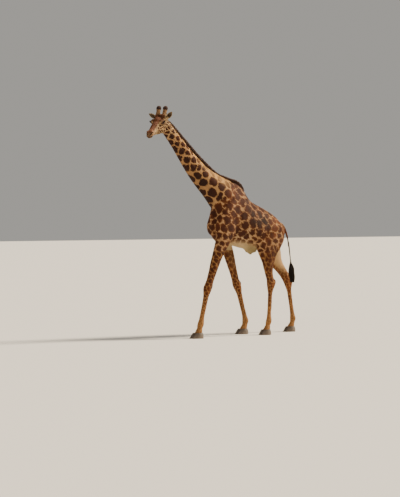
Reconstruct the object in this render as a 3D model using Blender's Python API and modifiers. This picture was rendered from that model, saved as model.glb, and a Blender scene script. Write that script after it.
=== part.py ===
# Giraffe, a bull, standing in mid-stride: the body is lofted whole, then parted with thin cuts.
# Metres, +Z up. It faces -Y, and its left side is +X.
import bpy
import bmesh
import math
import numpy as np
from mathutils import Matrix, Vector

for old in list(bpy.data.objects):
    bpy.data.objects.remove(old, do_unlink=True)

# driving sizes
WITHERS = 3.13          # height of the shoulders
TAIL_HEAD = 2.29        # height where the tail starts
BELLY = 1.75            # height of the lowest part of the barrel
CORONET = 0.11          # height where the skin meets the hoof
HALF_TRACK = 0.22       # from the middle to the middle of a foot
GAP = 0.0004            # left between neighbouring solids
VOXEL = 0.014           # grain of the joined body
BODY_FACES = 4600       # triangles kept on the joined body
CENTRE = (-0.059, 0.582)  # moves the model so that it stands over the origin

# the head: where the line between the ears crosses the middle, how it is turned, and its size
HEAD_AT = Vector((0.14, -2.150, 4.318))
HEAD_YAW = math.radians(30)
HEAD_PITCH = math.radians(23)
HEAD_ROLL = math.radians(3)
HEAD_SIZE = 1.06

EYE_RADIUS = 0.031
EYE_AT = (0.116, -0.165, 0.034)
HORN_ROOT = (0.063, -0.020, 0.070)
HORN_TIP = (0.068, 0.108, 0.226)
HORN_RADIUS = 0.046
HORN_GAP = 0.0016        # left between a horn and the head
EAR_ROOT = (0.094, 0.022, 0.030)
EAR_LENGTH = 0.180
EAR_WIDTH = 0.053
HOOF_LENGTH = 0.27
HOOF_WIDTH = 0.112
TOE_AROUND = 12

AROUND = 28             # corners of a ring on the big forms

headMatrix = (
    Matrix.Translation(HEAD_AT)
    @ Matrix.Rotation(HEAD_YAW, 4, "Z")
    @ Matrix.Rotation(HEAD_PITCH, 4, "X")
    @ Matrix.Rotation(HEAD_ROLL, 4, "Y")
    @ Matrix.Scale(HEAD_SIZE, 4)
)

giraffe = bpy.data.collections.new("giraffe")
bpy.context.scene.collection.children.link(giraffe)
helpers = bpy.data.collections.new("helpers")
bpy.context.scene.collection.children.link(helpers)


def material(name, colour, roughness):
    made = bpy.data.materials.new(name)
    made.use_nodes = True
    shader = made.node_tree.nodes["Principled BSDF"]
    shader.inputs["Base Color"].default_value = (*colour, 1.0)
    shader.inputs["Roughness"].default_value = roughness
    shader.inputs["Metallic"].default_value = 0.0
    made.diffuse_color = (*colour, 1.0)
    return made


coat = material("coat", (0.24, 0.095, 0.035), 0.75)
darkHair = material("dark_hair", (0.035, 0.018, 0.012), 0.7)
earSkin = material("ear_skin", (0.20, 0.14, 0.09), 0.8)
eyeGloss = material("eye_gloss", (0.012, 0.008, 0.006), 0.08)
hoofHorn = material("hoof_horn", (0.10, 0.075, 0.055), 0.55)


def smoothRows(rows, steps):
    """Catmull-Rom through the rows of a table, steps rows for each gap."""
    rows = np.array(rows, dtype=float)
    ends = np.vstack([2 * rows[0] - rows[1], rows, 2 * rows[-1] - rows[-2]])
    t = np.linspace(0, 1, steps, endpoint=False)[:, None]
    parts = []
    for k in range(len(rows) - 1):
        a, b, c, d = ends[k : k + 4]
        parts.append(
            0.5 * (2 * b + (c - a) * t + (2 * a - 5 * b + 4 * c - d) * t**2 + (3 * b - a - 3 * c + d) * t**3)
        )
    parts.append(rows[-1:])
    return np.vstack(parts)


def meshObject(name, verts, faces):
    mesh = bpy.data.meshes.new(name)
    mesh.from_pydata([tuple(v) for v in verts], [], faces)
    made = bpy.data.objects.new(name, mesh)
    helpers.objects.link(made)
    return made


def loft(name, rings, folded=False):
    """Skin a stack of closed rings, with a fan on each end, or a strip where the ring is folded flat."""
    count, around = rings.shape[:2]
    verts = rings.reshape(-1, 3)
    verts = np.vstack([verts, rings[0].mean(axis=0), rings[-1].mean(axis=0)])
    faces = []
    for k in range(count - 1):
        for j in range(around):
            n = (j + 1) % around
            faces.append((k * around + j, k * around + n, (k + 1) * around + n, (k + 1) * around + j))
    last = (count - 1) * around
    if folded:
        verts = verts[:-2]
        for j in range(around // 2 - 1):
            strip = (j, j + 1, around - 2 - j, around - 1 - j)
            faces.append(strip[::-1])
            faces.append(tuple(last + k for k in strip))
    else:
        for j in range(around):
            n = (j + 1) % around
            faces.append((count * around, n, j))
            faces.append((count * around + 1, last + j, last + n))
    made = meshObject(name, verts, faces)
    outward(made)
    return made


def outward(made):
    edit = bmesh.new()
    edit.from_mesh(made.data)
    bmesh.ops.recalc_face_normals(edit, faces=edit.faces)
    edit.to_mesh(made.data)
    edit.free()


def ringsAlong(centre, side, rise, up, down, wide, topPinch, lowPinch, around=AROUND):
    """Egg-shaped rings: up and down are the half heights, and a pinch narrows that end."""
    turn = np.linspace(0, 2 * math.pi, around, endpoint=False)
    s = np.sin(turn)[None, :]
    c = np.cos(turn)[None, :]
    high = np.clip(c, 0, 1)
    low = np.clip(-c, 0, 1)
    x = wide[:, None] * s * (1 - topPinch[:, None] * high**2) * (1 - lowPinch[:, None] * low**2)
    z = up[:, None] * high - down[:, None] * low
    return centre[:, None, :] + x[..., None] * side[:, None, :] + z[..., None] * rise[:, None, :]


def domed(rows, across):
    """Add small end rows so that a loft closes in a dome; across lists the size columns."""
    out = [row.copy() for row in rows]
    for end, near in ((0, 1), (-1, -2)):
        step = rows[end] - rows[near]
        reach = 0.6 * rows[end][across].min()
        along = step[:3] / np.linalg.norm(step[:3])
        caps = []
        for part in (0.5, 0.85, 0.98):
            cap = rows[end].copy()
            cap[:3] += along * reach * part
            cap[across] *= math.sqrt(1 - part**2)
            caps.append(cap)
        out = caps[::-1] + out if end == 0 else out + caps
    return np.array(out)


def barrel(name, table):
    """Upright sections along Y: y, top, bottom, half width, top pinch, bottom pinch."""
    t = smoothRows(table, 5)
    mid = t[:, 2] + 0.45 * (t[:, 1] - t[:, 2])
    rows = np.column_stack([np.zeros(len(t)), t[:, 0], mid, t[:, 1] - mid, mid - t[:, 2], t[:, 3:]])
    rows = domed(rows, [3, 4, 5])
    ones = np.ones(len(rows))
    side = np.column_stack([ones, 0 * ones, 0 * ones])
    rise = np.column_stack([0 * ones, 0 * ones, ones])
    return loft(name, ringsAlong(rows[:, :3], side, rise, *rows[:, 3:].T))


def limb(name, table, side):
    """Level sections down a leg: z, y, half length, x, half width."""
    t = smoothRows(table, 4)
    rows = np.column_stack([side * t[:, 3], t[:, 1], t[:, 0], t[:, 2], t[:, 2], t[:, 4]])
    rows = domed(rows, [3, 4, 5])
    ones = np.ones(len(rows))
    across = np.column_stack([ones, 0 * ones, 0 * ones])
    ahead = np.column_stack([0 * ones, -ones, 0 * ones])
    none = 0 * ones
    return loft(name, ringsAlong(rows[:, :3], across, ahead, *rows[:, 3:].T, none, none))


def column(name, table, hint, steps=5, around=AROUND):
    """Sections square to a path: x, y, z, half up, half down, half width, pinches."""
    rows = domed(smoothRows(table, steps), [3, 4, 5])
    along = np.gradient(rows[:, :3], axis=0)
    along /= np.linalg.norm(along, axis=1)[:, None]
    side = np.cross(along, np.array(hint, dtype=float))
    side /= np.linalg.norm(side, axis=1)[:, None]
    rise = np.cross(side, along)
    return loft(name, ringsAlong(rows[:, :3], side, rise, *rows[:, 3:].T, around=around))


def ball(name, at, radii, segments=24):
    """A sphere stretched to three radii."""
    edit = bmesh.new()
    bmesh.ops.create_uvsphere(edit, u_segments=segments, v_segments=segments // 2, radius=1.0)
    mesh = bpy.data.meshes.new(name)
    edit.to_mesh(mesh)
    edit.free()
    mesh.transform(Matrix.Translation(Vector(at)) @ Matrix.Diagonal((*radii, 1.0)))
    made = bpy.data.objects.new(name, mesh)
    helpers.objects.link(made)
    return made


def onHead(made):
    made.data.transform(headMatrix)
    return made


def applied(made):
    """Bake an object's modifiers into its mesh."""
    bpy.context.view_layer.update()
    graph = bpy.context.evaluated_depsgraph_get()
    mesh = bpy.data.meshes.new_from_object(made.evaluated_get(graph))
    made.modifiers.clear()
    made.data = mesh
    return made


def joined(name, pieces):
    edit = bmesh.new()
    for piece in pieces:
        edit.from_mesh(piece.data)
        bpy.data.objects.remove(piece, do_unlink=True)
    mesh = bpy.data.meshes.new(name)
    edit.to_mesh(mesh)
    edit.free()
    made = bpy.data.objects.new(name, mesh)
    helpers.objects.link(made)
    return made


def boolean(made, cutter, operation):
    """Cut or join with the exact solver."""
    step = made.modifiers.new(operation.lower(), "BOOLEAN")
    step.operation = operation
    step.solver = "EXACT"
    step.object = cutter
    return applied(made)


def body():
    """Trunk, neck, head and legs in one closed surface."""
    trunk = barrel(
        "trunk_form",
        [
            (-0.835, 2.50, 2.04, 0.135, 0.2, 0.3),
            (-0.72, 2.84, 1.91, 0.225, 0.3, 0.3),
            (-0.52, 3.04, 1.87, 0.285, 0.5, 0.25),
            (-0.30, WITHERS, 1.825, 0.310, 0.65, 0.2),
            (-0.10, 3.02, BELLY + 0.03, 0.325, 0.6, 0.15),
            (0.10, 2.77, BELLY, 0.335, 0.5, 0.1),
            (0.32, 2.655, BELLY + 0.01, 0.335, 0.45, 0.1),
            (0.55, 2.55, BELLY + 0.06, 0.315, 0.45, 0.15),
            (0.75, 2.43, BELLY + 0.12, 0.275, 0.45, 0.2),
            (0.88, TAIL_HEAD + 0.01, BELLY + 0.21, 0.175, 0.4, 0.2),
        ],
    )
    neck = column(
        "neck_form",
        [
            (0.0, -0.45, 2.73, 0.36, 0.36, 0.23, 0.1, 0.5),
            (0.0, -0.62, 2.885, 0.35, 0.355, 0.24, 0.1, 0.5),
            (0.0, -0.82, 3.04, 0.295, 0.278, 0.20, 0.1, 0.45),
            (0.004, -1.08, 3.245, 0.245, 0.218, 0.165, 0.1, 0.4),
            (0.015, -1.283, 3.44, 0.218, 0.186, 0.143, 0.1, 0.35),
            (0.035, -1.484, 3.65, 0.188, 0.154, 0.125, 0.1, 0.3),
            (0.058, -1.69, 3.88, 0.162, 0.128, 0.112, 0.1, 0.25),
            (0.082, -1.845, 4.035, 0.148, 0.116, 0.104, 0.1, 0.2),
            (0.105, -1.975, 4.165, 0.140, 0.114, 0.102, 0.1, 0.2),
            (0.122, -2.06, 4.25, 0.125, 0.110, 0.098, 0.1, 0.2),
        ],
        (0, -0.7, -0.7),
    )
    sheath = ball("sheath_form", (0.0, 0.14, 1.745), (0.055, 0.16, 0.075))
    tip = ball("sheath_tip", (0.0, 0.125, 1.69), (0.034, 0.05, 0.048))
    pieces = [trunk, neck, sheath, tip] + headForms() + legForms()
    whole = joined("body", pieces)
    grain = whole.modifiers.new("grain", "REMESH")
    grain.mode = "VOXEL"
    grain.voxel_size = VOXEL
    soften = whole.modifiers.new("soften", "SMOOTH")
    soften.factor = 0.5
    soften.iterations = 6
    applied(whole)
    keepHead = whole.vertex_groups.new(name="thin_out")
    for vertex in whole.data.vertices:
        local = headMatrix.inverted() @ vertex.co
        near = local.y < 0.1 and local.length < 0.75
        keepHead.add([vertex.index], 0.95 if near else 1.0, "REPLACE")
    fewer = whole.modifiers.new("fewer", "DECIMATE")
    fewer.ratio = BODY_FACES / (2 * len(whole.data.polygons))
    fewer.vertex_group = "thin_out"
    fewer.use_collapse_triangulate = True
    applied(whole)
    whole.vertex_groups.clear()
    return whole


def headForms():
    """Skull and muzzle in the head's own frame: the nose points along -Y."""
    skull = barrel(
        "skull_form",
        [
            (-0.605, -0.060, -0.118, 0.040, 0.1, 0.1),
            (-0.575, -0.030, -0.128, 0.056, 0.2, 0.1),
            (-0.530, 0.000, -0.130, 0.066, 0.3, 0.2),
            (-0.470, 0.028, -0.128, 0.066, 0.3, 0.3),
            (-0.390, 0.060, -0.142, 0.074, 0.3, 0.35),
            (-0.310, 0.086, -0.164, 0.089, 0.3, 0.4),
            (-0.235, 0.098, -0.188, 0.100, 0.3, 0.45),
            (-0.165, 0.110, -0.202, 0.112, 0.25, 0.45),
            (-0.095, 0.114, -0.200, 0.112, 0.25, 0.45),
            (-0.025, 0.106, -0.172, 0.106, 0.25, 0.35),
            (0.040, 0.080, -0.120, 0.088, 0.25, 0.2),
        ],
    )
    forms = [skull, ball("brow_hump", (0, -0.175, 0.095), (0.052, 0.085, 0.045))]
    forms.append(ball("poll", (0, 0.03, 0.072), (0.07, 0.06, 0.05)))
    for side in (-1, 1):
        forms.append(ball("orbit", (side * 0.088, -0.160, 0.044), (0.050, 0.066, 0.046)))
        forms.append(ball("jaw", (side * 0.058, -0.110, -0.118), (0.040, 0.100, 0.080)))
        forms.append(ball("nostril", (side * 0.042, -0.525, -0.030), (0.028, 0.045, 0.035)))
        forms.append(ball("horn_seat", (side * 0.062, -0.022, 0.095), (0.044, 0.050, 0.045)))
        forms.append(ball("ear_seat", (side * 0.092, 0.018, 0.030), (0.034, 0.036, 0.034)))
    return [onHead(form) for form in forms]


def legForms():
    """Left fore and left hind reach forward, right fore and right hind trail."""
    fore = {
        1: [
            (2.85, -0.42, 0.13, 0.120, 0.075),
            (2.60, -0.50, 0.21, 0.180, 0.105),
            (2.35, -0.60, 0.245, 0.205, 0.118),
            (2.12, -0.645, 0.235, 0.212, 0.118),
            (1.95, -0.695, 0.195, HALF_TRACK, 0.108),
            (1.80, -0.775, 0.158, HALF_TRACK, 0.095),
            (1.65, -0.845, 0.132, HALF_TRACK, 0.086),
            (1.50, -0.905, 0.116, HALF_TRACK, 0.080),
            (1.30, -0.975, 0.095, HALF_TRACK, 0.074),
            (1.12, -1.045, 0.086, HALF_TRACK, 0.070),
            (1.02, -1.085, 0.100, HALF_TRACK, 0.083),
            (0.93, -1.108, 0.088, HALF_TRACK, 0.075),
            (0.83, -1.135, 0.064, 0.225, 0.058),
            (0.60, -1.195, 0.058, 0.228, 0.053),
            (0.40, -1.245, 0.058, 0.230, 0.053),
            (0.28, -1.272, 0.076, 0.230, 0.066),
            (0.20, -1.295, 0.066, 0.230, 0.060),
            (0.10, -1.330, 0.088, 0.230, 0.080),
        ],
        -1: [
            (2.85, -0.30, 0.13, 0.120, 0.075),
            (2.60, -0.37, 0.21, 0.180, 0.105),
            (2.35, -0.44, 0.245, 0.205, 0.118),
            (2.12, -0.445, 0.235, 0.212, 0.118),
            (1.95, -0.405, 0.195, HALF_TRACK, 0.108),
            (1.80, -0.325, 0.155, HALF_TRACK, 0.095),
            (1.65, -0.255, 0.128, HALF_TRACK, 0.086),
            (1.50, -0.205, 0.112, HALF_TRACK, 0.080),
            (1.30, -0.140, 0.094, HALF_TRACK, 0.074),
            (1.12, -0.080, 0.085, HALF_TRACK, 0.070),
            (1.02, -0.048, 0.098, HALF_TRACK, 0.082),
            (0.93, -0.018, 0.087, HALF_TRACK, 0.075),
            (0.83, 0.020, 0.063, 0.225, 0.057),
            (0.60, 0.090, 0.057, 0.228, 0.052),
            (0.40, 0.150, 0.057, 0.230, 0.052),
            (0.28, 0.180, 0.075, 0.230, 0.065),
            (0.20, 0.165, 0.066, 0.230, 0.060),
            (0.10, 0.125, 0.088, 0.230, 0.080),
        ],
    }
    hind = {
        1: [
            (2.22, 0.58, 0.22, 0.130, 0.110),
            (2.10, 0.56, 0.29, 0.165, 0.130),
            (1.97, 0.53, 0.330, 0.190, 0.128),
            (1.80, 0.455, 0.310, 0.205, 0.118),
            (1.65, 0.425, 0.225, 0.215, 0.100),
            (1.50, 0.43, 0.155, HALF_TRACK, 0.085),
            (1.35, 0.437, 0.113, HALF_TRACK, 0.072),
            (1.20, 0.462, 0.092, HALF_TRACK, 0.062),
            (1.12, 0.490, 0.094, HALF_TRACK, 0.066),
            (1.04, 0.505, 0.104, HALF_TRACK, 0.072),
            (0.95, 0.492, 0.080, HALF_TRACK, 0.064),
            (0.85, 0.482, 0.056, 0.222, 0.050),
            (0.60, 0.465, 0.051, 0.224, 0.047),
            (0.40, 0.450, 0.052, 0.225, 0.048),
            (0.28, 0.443, 0.070, 0.225, 0.062),
            (0.20, 0.420, 0.062, 0.225, 0.056),
            (0.10, 0.380, 0.084, 0.225, 0.076),
        ],
        -1: [
            (2.22, 0.60, 0.22, 0.130, 0.110),
            (2.10, 0.62, 0.29, 0.160, 0.130),
            (1.97, 0.67, 0.31, 0.180, 0.130),
            (1.80, 0.755, 0.285, 0.188, 0.125),
            (1.65, 0.825, 0.245, 0.195, 0.108),
            (1.50, 0.915, 0.190, 0.200, 0.090),
            (1.35, 1.045, 0.158, 0.205, 0.076),
            (1.20, 1.185, 0.135, 0.210, 0.068),
            (1.12, 1.243, 0.125, 0.212, 0.068),
            (1.04, 1.282, 0.110, 0.214, 0.072),
            (0.95, 1.300, 0.080, 0.216, 0.064),
            (0.85, 1.318, 0.056, 0.218, 0.050),
            (0.60, 1.365, 0.051, 0.222, 0.047),
            (0.40, 1.403, 0.052, 0.225, 0.048),
            (0.28, 1.425, 0.070, 0.225, 0.062),
            (0.20, 1.405, 0.062, 0.225, 0.056),
            (0.10, 1.365, 0.084, 0.225, 0.076),
        ],
    }
    forms = []
    for side in (1, -1):
        forms.append(limb("fore_form", fore[side], side))
        forms.append(limb("hind_form", hind[side], side))
    for side, knee, heel in ((1, -1.005, 0.60), (-1, 0.030, 1.385)):
        forms.append(ball("knee_back", (side * HALF_TRACK, knee, 1.045), (0.036, 0.040, 0.060)))
        forms.append(ball("heel", (side * 0.218, heel, 1.075), (0.030, 0.040, 0.072)))
    return forms


def slab(name, at, normal, size):
    """A cutter one gap thick, square to normal."""
    edit = bmesh.new()
    bmesh.ops.create_cube(edit, size=1.0)
    mesh = bpy.data.meshes.new(name)
    edit.to_mesh(mesh)
    edit.free()
    turn = Vector(normal).to_track_quat("Z", "Y").to_matrix().to_4x4()
    mesh.transform(Matrix.Translation(Vector(at)) @ turn @ Matrix.Diagonal((*size, GAP, 1.0)))
    made = bpy.data.objects.new(name, mesh)
    helpers.objects.link(made)
    return made


def looseParts(made):
    """Split a mesh into its separate shells, one object each."""
    edit = bmesh.new()
    edit.from_mesh(made.data)
    edit.faces.ensure_lookup_table()
    left = set(edit.faces)
    groups = []
    while left:
        start = left.pop()
        found = [start]
        queue = [start]
        while queue:
            for edge in queue.pop().edges:
                for face in edge.link_faces:
                    if face in left:
                        left.remove(face)
                        found.append(face)
                        queue.append(face)
        groups.append({face.index for face in found})
    edit.free()
    parts = []
    for group in groups:
        part = bmesh.new()
        part.from_mesh(made.data)
        part.faces.ensure_lookup_table()
        drop = [face for face in part.faces if face.index not in group]
        bmesh.ops.delete(part, geom=drop, context="FACES")
        mesh = bpy.data.meshes.new("part")
        part.to_mesh(mesh)
        part.free()
        piece = bpy.data.objects.new("part", mesh)
        helpers.objects.link(piece)
        parts.append(piece)
    bpy.data.objects.remove(made, do_unlink=True)
    return parts


def middle(made):
    low = Vector([min(v.co[k] for v in made.data.vertices) for k in range(3)])
    high = Vector([max(v.co[k] for v in made.data.vertices) for k in range(3)])
    return (low + high) / 2


def node(made, name, look):
    """Give a finished solid its name, material and place in the giraffe's collection."""
    made.name = name
    made.data.name = name
    made.data.materials.clear()
    made.data.materials.append(look)
    for owner in list(made.users_collection):
        owner.objects.unlink(made)
    giraffe.objects.link(made)
    return made


def parted(whole):
    """Cut the body into head, neck, trunk and two lengths of each leg, and trim it at the coronets."""
    edit = bmesh.new()
    edit.from_mesh(whole.data)
    everything = edit.verts[:] + edit.edges[:] + edit.faces[:]
    cut = bmesh.ops.bisect_plane(
        edit, geom=everything, dist=1e-5, plane_co=(0, 0, CORONET), plane_no=(0, 0, 1), clear_inner=True
    )
    rims = [item for item in cut["geom_cut"] if isinstance(item, bmesh.types.BMEdge)]
    bmesh.ops.triangle_fill(edit, edges=rims, use_beauty=True, normal=(0, 0, -1))
    bmesh.ops.recalc_face_normals(edit, faces=edit.faces)
    edit.to_mesh(whole.data)
    edit.free()
    cuts = [
        slab("cut_neck", (0, -0.61, 2.89), (0, -0.70, 0.71), (1.0, 1.06)),
        slab("cut_head", (0.12, -1.985, 4.215), (0.25, -0.90, 0.40), (0.6, 0.62)),
        slab("cut_forearms", (0, -0.62, 1.745), (0, 0, 1), (0.9, 1.1)),
        slab("cut_thighs", (0, 0.72, 1.841), (0, -0.335, 0.942), (0.9, 1.4)),
        slab("cut_knees", (0, 0.1, 0.955), (0, 0, 1), (0.9, 3.2)),
    ]
    cutter = joined("cuts", cuts)
    cutter.hide_render = True
    cutter.display_type = "WIRE"
    parts = looseParts(boolean(whole, cutter, "DIFFERENCE"))
    bpy.data.objects.remove(cutter, do_unlink=True)
    names = {}
    for part in parts:
        at = middle(part)
        side = "left" if at.x > 0 else "right"
        if at.z > 4.1:
            name = "head"
        elif at.z > 3.0:
            name = "neck"
        elif at.z > 2.0:
            name = "trunk"
        elif at.z > 0.95:
            name = f"foreleg_{side}" if at.y < 0.1 else f"hind_leg_{side}"
        else:
            pastern = {"left": -0.4, "right": 0.7}[side]
            name = f"fore_cannon_{side}" if at.y < pastern else f"hind_cannon_{side}"
        names[name] = node(part, name, coat)
    return names


def horn(side):
    """A bull's ossicone: a stout stem with a knobbed top."""
    root = Vector((side * HORN_ROOT[0], HORN_ROOT[1], HORN_ROOT[2]))
    tip = Vector((side * HORN_TIP[0], HORN_TIP[1], HORN_TIP[2]))
    table = []
    for part, thick in ((0, 1.22), (0.25, 1.05), (0.5, 0.90), (0.72, 0.90), (0.88, 1.04), (1, 0.90)):
        at = root.lerp(tip, part)
        radius = HORN_RADIUS * thick
        table.append((*at, radius, radius, radius, 0, 0))
    return onHead(column("horn_form", table, (0, -1, 0), steps=2, around=10))


def ear(side):
    """A long leaf, cupped and turned to the front, 11 mm thick."""
    along = Vector((0.68, 0.0, 0.73) if side > 0 else (-0.84, 0.12, 0.42)).normalized()
    front = Vector((side * 0.25, -0.93, 0.1))
    front = (front - along * front.dot(along)).normalized()
    across = along.cross(front)
    root = Vector((side * EAR_ROOT[0], EAR_ROOT[1], EAR_ROOT[2])) + along * 0.012
    u = np.linspace(0, 1, 7)
    width = EAR_WIDTH * (0.36 + 1.72 * u * (1 - u) ** 0.75 + 0.22 * (1 - u) ** 6) * (1 - 0.72 * u**5)
    turn = np.linspace(-1, 1, 5)
    rings = []
    for part, half in zip(u, width):
        at = root + along * (EAR_LENGTH * part)
        cup = 0.030 * (1 - 0.55 * part)
        thick = 0.0055 * (1 - 0.35 * part)
        outer = [at + across * (half * w) - front * (cup * (1 - w * w) + thick) for w in turn]
        inner = [at + across * (half * w * 0.88) - front * (cup * (1 - w * w) - thick) for w in turn[::-1]]
        rings.append([tuple(p) for p in outer + inner])
    return onHead(loft("ear_form", np.array(rings), folded=True))


def eye(side, radius):
    made = ball("eye_form", (0, 0, 0), (radius, radius, radius), segments=14)
    at = headMatrix @ Vector((side * EYE_AT[0], EYE_AT[1], EYE_AT[2]))
    made.data.transform(Matrix.Translation(at))
    return made


def swollen(solid, gap=GAP):
    """A copy of a solid, grown by the gap along its normals."""
    edit = bmesh.new()
    edit.from_mesh(solid.data)
    edit.normal_update()
    for vertex in edit.verts:
        vertex.co += vertex.normal * gap
    mesh = bpy.data.meshes.new("swollen")
    edit.to_mesh(mesh)
    edit.free()
    made = bpy.data.objects.new("swollen", mesh)
    helpers.objects.link(made)
    return made


def onSurface(made, solids, gap=GAP):
    """Trim a piece where it would enter the given solids, and keep its biggest part."""
    for solid in solids:
        grown = swollen(solid, gap)
        made = boolean(made, grown, "DIFFERENCE")
        bpy.data.objects.remove(grown, do_unlink=True)
    pieces = looseParts(made)
    pieces.sort(key=lambda piece: len(piece.data.vertices))
    for scrap in pieces[:-1]:
        bpy.data.objects.remove(scrap, do_unlink=True)
    return pieces[-1]


def mane():
    """An upright brush along the neck, with a tuft where it ends on the withers."""
    ridge = [
        (0.000, -0.085, 2.945, 0.026),
        (0.000, -0.160, 3.040, 0.046),
        (0.000, -0.250, 3.095, 0.048),
        (0.000, -0.365, 3.125, 0.040),
        (0.000, -0.545, 3.178, 0.045),
        (0.001, -0.730, 3.245, 0.052),
        (0.006, -0.930, 3.382, 0.056),
        (0.018, -1.160, 3.562, 0.056),
        (0.036, -1.390, 3.758, 0.054),
        (0.060, -1.630, 3.972, 0.052),
        (0.084, -1.825, 4.146, 0.048),
        (0.104, -1.965, 4.268, 0.040),
        (0.116, -2.025, 4.325, 0.028),
    ]
    table = [(x, y, z, high, 0.075, 0.020, 0.55, 0.0) for x, y, z, high in ridge]
    return column("mane_form", table, (0, -0.7, -0.7), steps=1, around=8)


def tail():
    """The dock, hanging clear of the rump."""
    path = [
        (0.0, 0.86, 2.285, 0.046),
        (0.0, 0.955, 2.245, 0.040),
        (0.0, 1.035, 2.150, 0.033),
        (0.0, 1.098, 2.000, 0.027),
        (0.0, 1.140, 1.800, 0.021),
        (0.0, 1.172, 1.600, 0.018),
        (0.0, 1.190, 1.480, 0.017),
    ]
    table = [(x, y, z, r, r, r, 0, 0) for x, y, z, r in path]
    return column("tail_form", table, (0, -1, 0), steps=2, around=8)


def tassel():
    """The long black switch at the tail's end."""
    path = [
        (0.0, 1.1915, 1.4585, 0.020),
        (0.0, 1.198, 1.420, 0.044),
        (0.0, 1.205, 1.340, 0.060),
        (0.0, 1.214, 1.240, 0.062),
        (0.0, 1.224, 1.140, 0.052),
        (0.0, 1.232, 1.060, 0.030),
    ]
    table = [(x, y, z, r, r, 0.85 * r, 0, 0) for x, y, z, r in path]
    return column("tassel_form", table, (0, -1, 0), steps=2, around=10)


def toe(side, length, width):
    """Half a hoof: level sections that grow towards a flat sole."""
    table = []
    for z, back, front, half in (
        (CORONET - GAP, 0.33, 0.34, 0.40),
        (0.075, 0.37, 0.43, 0.45),
        (0.030, 0.39, 0.55, 0.50),
        (0.0, 0.38, 0.61, 0.51),
    ):
        table.append((side * 0.47 * width, z, back * length, front * length, half * width))
    turn = np.linspace(0, 2 * math.pi, TOE_AROUND, endpoint=False)
    s = np.sin(turn)
    c = np.cos(turn)
    rings = []
    for x, z, back, front, half in table:
        reach = np.where(c > 0, front * c, back * c)
        taper = 1 - 0.30 * np.clip(c, 0, 1) ** 2
        inward = -side * 0.10 * half * np.clip(c, 0, 1)
        ring = np.column_stack([x + half * s * taper + inward, -reach, np.full(TOE_AROUND, z)])
        rings.append(ring)
    return loft("toe_form", np.array(rings))


def hoof(name, x, y, length, width):
    """Two toes with a cleft between them in front."""
    whole = toe(1, length, width)
    other = toe(-1, length, width)
    whole = boolean(whole, other, "UNION")
    bpy.data.objects.remove(other, do_unlink=True)
    whole.data.transform(Matrix.Translation((x, y, 0)))
    return node(whole, name, hoofHorn)


def dropShort(made):
    """Merge the slivers that cuts leave."""
    edit = bmesh.new()
    edit.from_mesh(made.data)
    bmesh.ops.remove_doubles(edit, verts=edit.verts, dist=0.00005)
    bmesh.ops.dissolve_degenerate(edit, edges=edit.edges, dist=0.00005)
    bmesh.ops.triangulate(edit, faces=edit.faces)
    bmesh.ops.recalc_face_normals(edit, faces=edit.faces)
    edit.to_mesh(made.data)
    edit.free()


def build():
    parts = parted(body())
    head = parts["head"]
    for side, word in ((1, "left"), (-1, "right")):
        socket = eye(side, EYE_RADIUS + GAP)
        boolean(head, socket, "DIFFERENCE")
        bpy.data.objects.remove(socket, do_unlink=True)
        node(eye(side, EYE_RADIUS), f"eye_{word}", eyeGloss)
    for side, word in ((1, "left"), (-1, "right")):
        stem = onSurface(horn(side), [head], HORN_GAP)
        node(stem, f"ossicone_{word}", coat)
        node(onSurface(ear(side), [head, stem]), f"ear_{word}", earSkin)
    node(onSurface(mane(), [parts["neck"], parts["trunk"], head]), "mane", darkHair)
    node(onSurface(tail(), [parts["trunk"]]), "tail", coat)
    node(tassel(), "tail_tuft", darkHair)
    feet = {
        "hoof_fore_left": (0.230, -1.345, 1.0),
        "hoof_fore_right": (-0.230, 0.110, 1.0),
        "hoof_hind_left": (0.225, 0.365, 0.94),
        "hoof_hind_right": (-0.225, 1.350, 0.94),
    }
    for name, (x, y, size) in feet.items():
        hoof(name, x, y, HOOF_LENGTH * size, HOOF_WIDTH * size)
    for made in giraffe.objects:
        made.data.transform(Matrix.Translation((CENTRE[0], CENTRE[1], 0)))
        dropShort(made)
    for scrap in list(helpers.objects):
        bpy.data.objects.remove(scrap, do_unlink=True)


build()
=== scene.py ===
# A bull giraffe, life size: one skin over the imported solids, with its coat, mane, eyes and hooves.
import math
import bmesh
import bpy
import numpy as np
from mathutils import Matrix, Vector


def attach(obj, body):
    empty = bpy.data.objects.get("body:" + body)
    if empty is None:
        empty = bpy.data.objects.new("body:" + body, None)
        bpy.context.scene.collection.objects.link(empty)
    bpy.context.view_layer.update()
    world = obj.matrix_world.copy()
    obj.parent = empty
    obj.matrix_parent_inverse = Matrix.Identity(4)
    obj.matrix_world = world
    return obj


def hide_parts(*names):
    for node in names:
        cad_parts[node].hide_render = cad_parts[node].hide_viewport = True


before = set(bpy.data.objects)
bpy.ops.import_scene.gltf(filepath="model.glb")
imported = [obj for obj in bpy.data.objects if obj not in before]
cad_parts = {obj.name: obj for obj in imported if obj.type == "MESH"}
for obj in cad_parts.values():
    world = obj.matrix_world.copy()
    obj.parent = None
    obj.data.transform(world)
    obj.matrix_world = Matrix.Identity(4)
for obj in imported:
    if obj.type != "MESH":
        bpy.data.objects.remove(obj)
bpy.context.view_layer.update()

# the shapes are worked out with the spine over x = 0, and standAt then moves them over the origin
standAt = np.array([-0.059, 0.582, 0.0])
withers = 3.13  # height of the shoulders
belly = 1.75
tailHead = 2.29
halfTrack = 0.22  # from the middle to the middle of a foot
coronet = 0.11  # where the skin meets the hoof
fullTurn = 2 * math.pi

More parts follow.
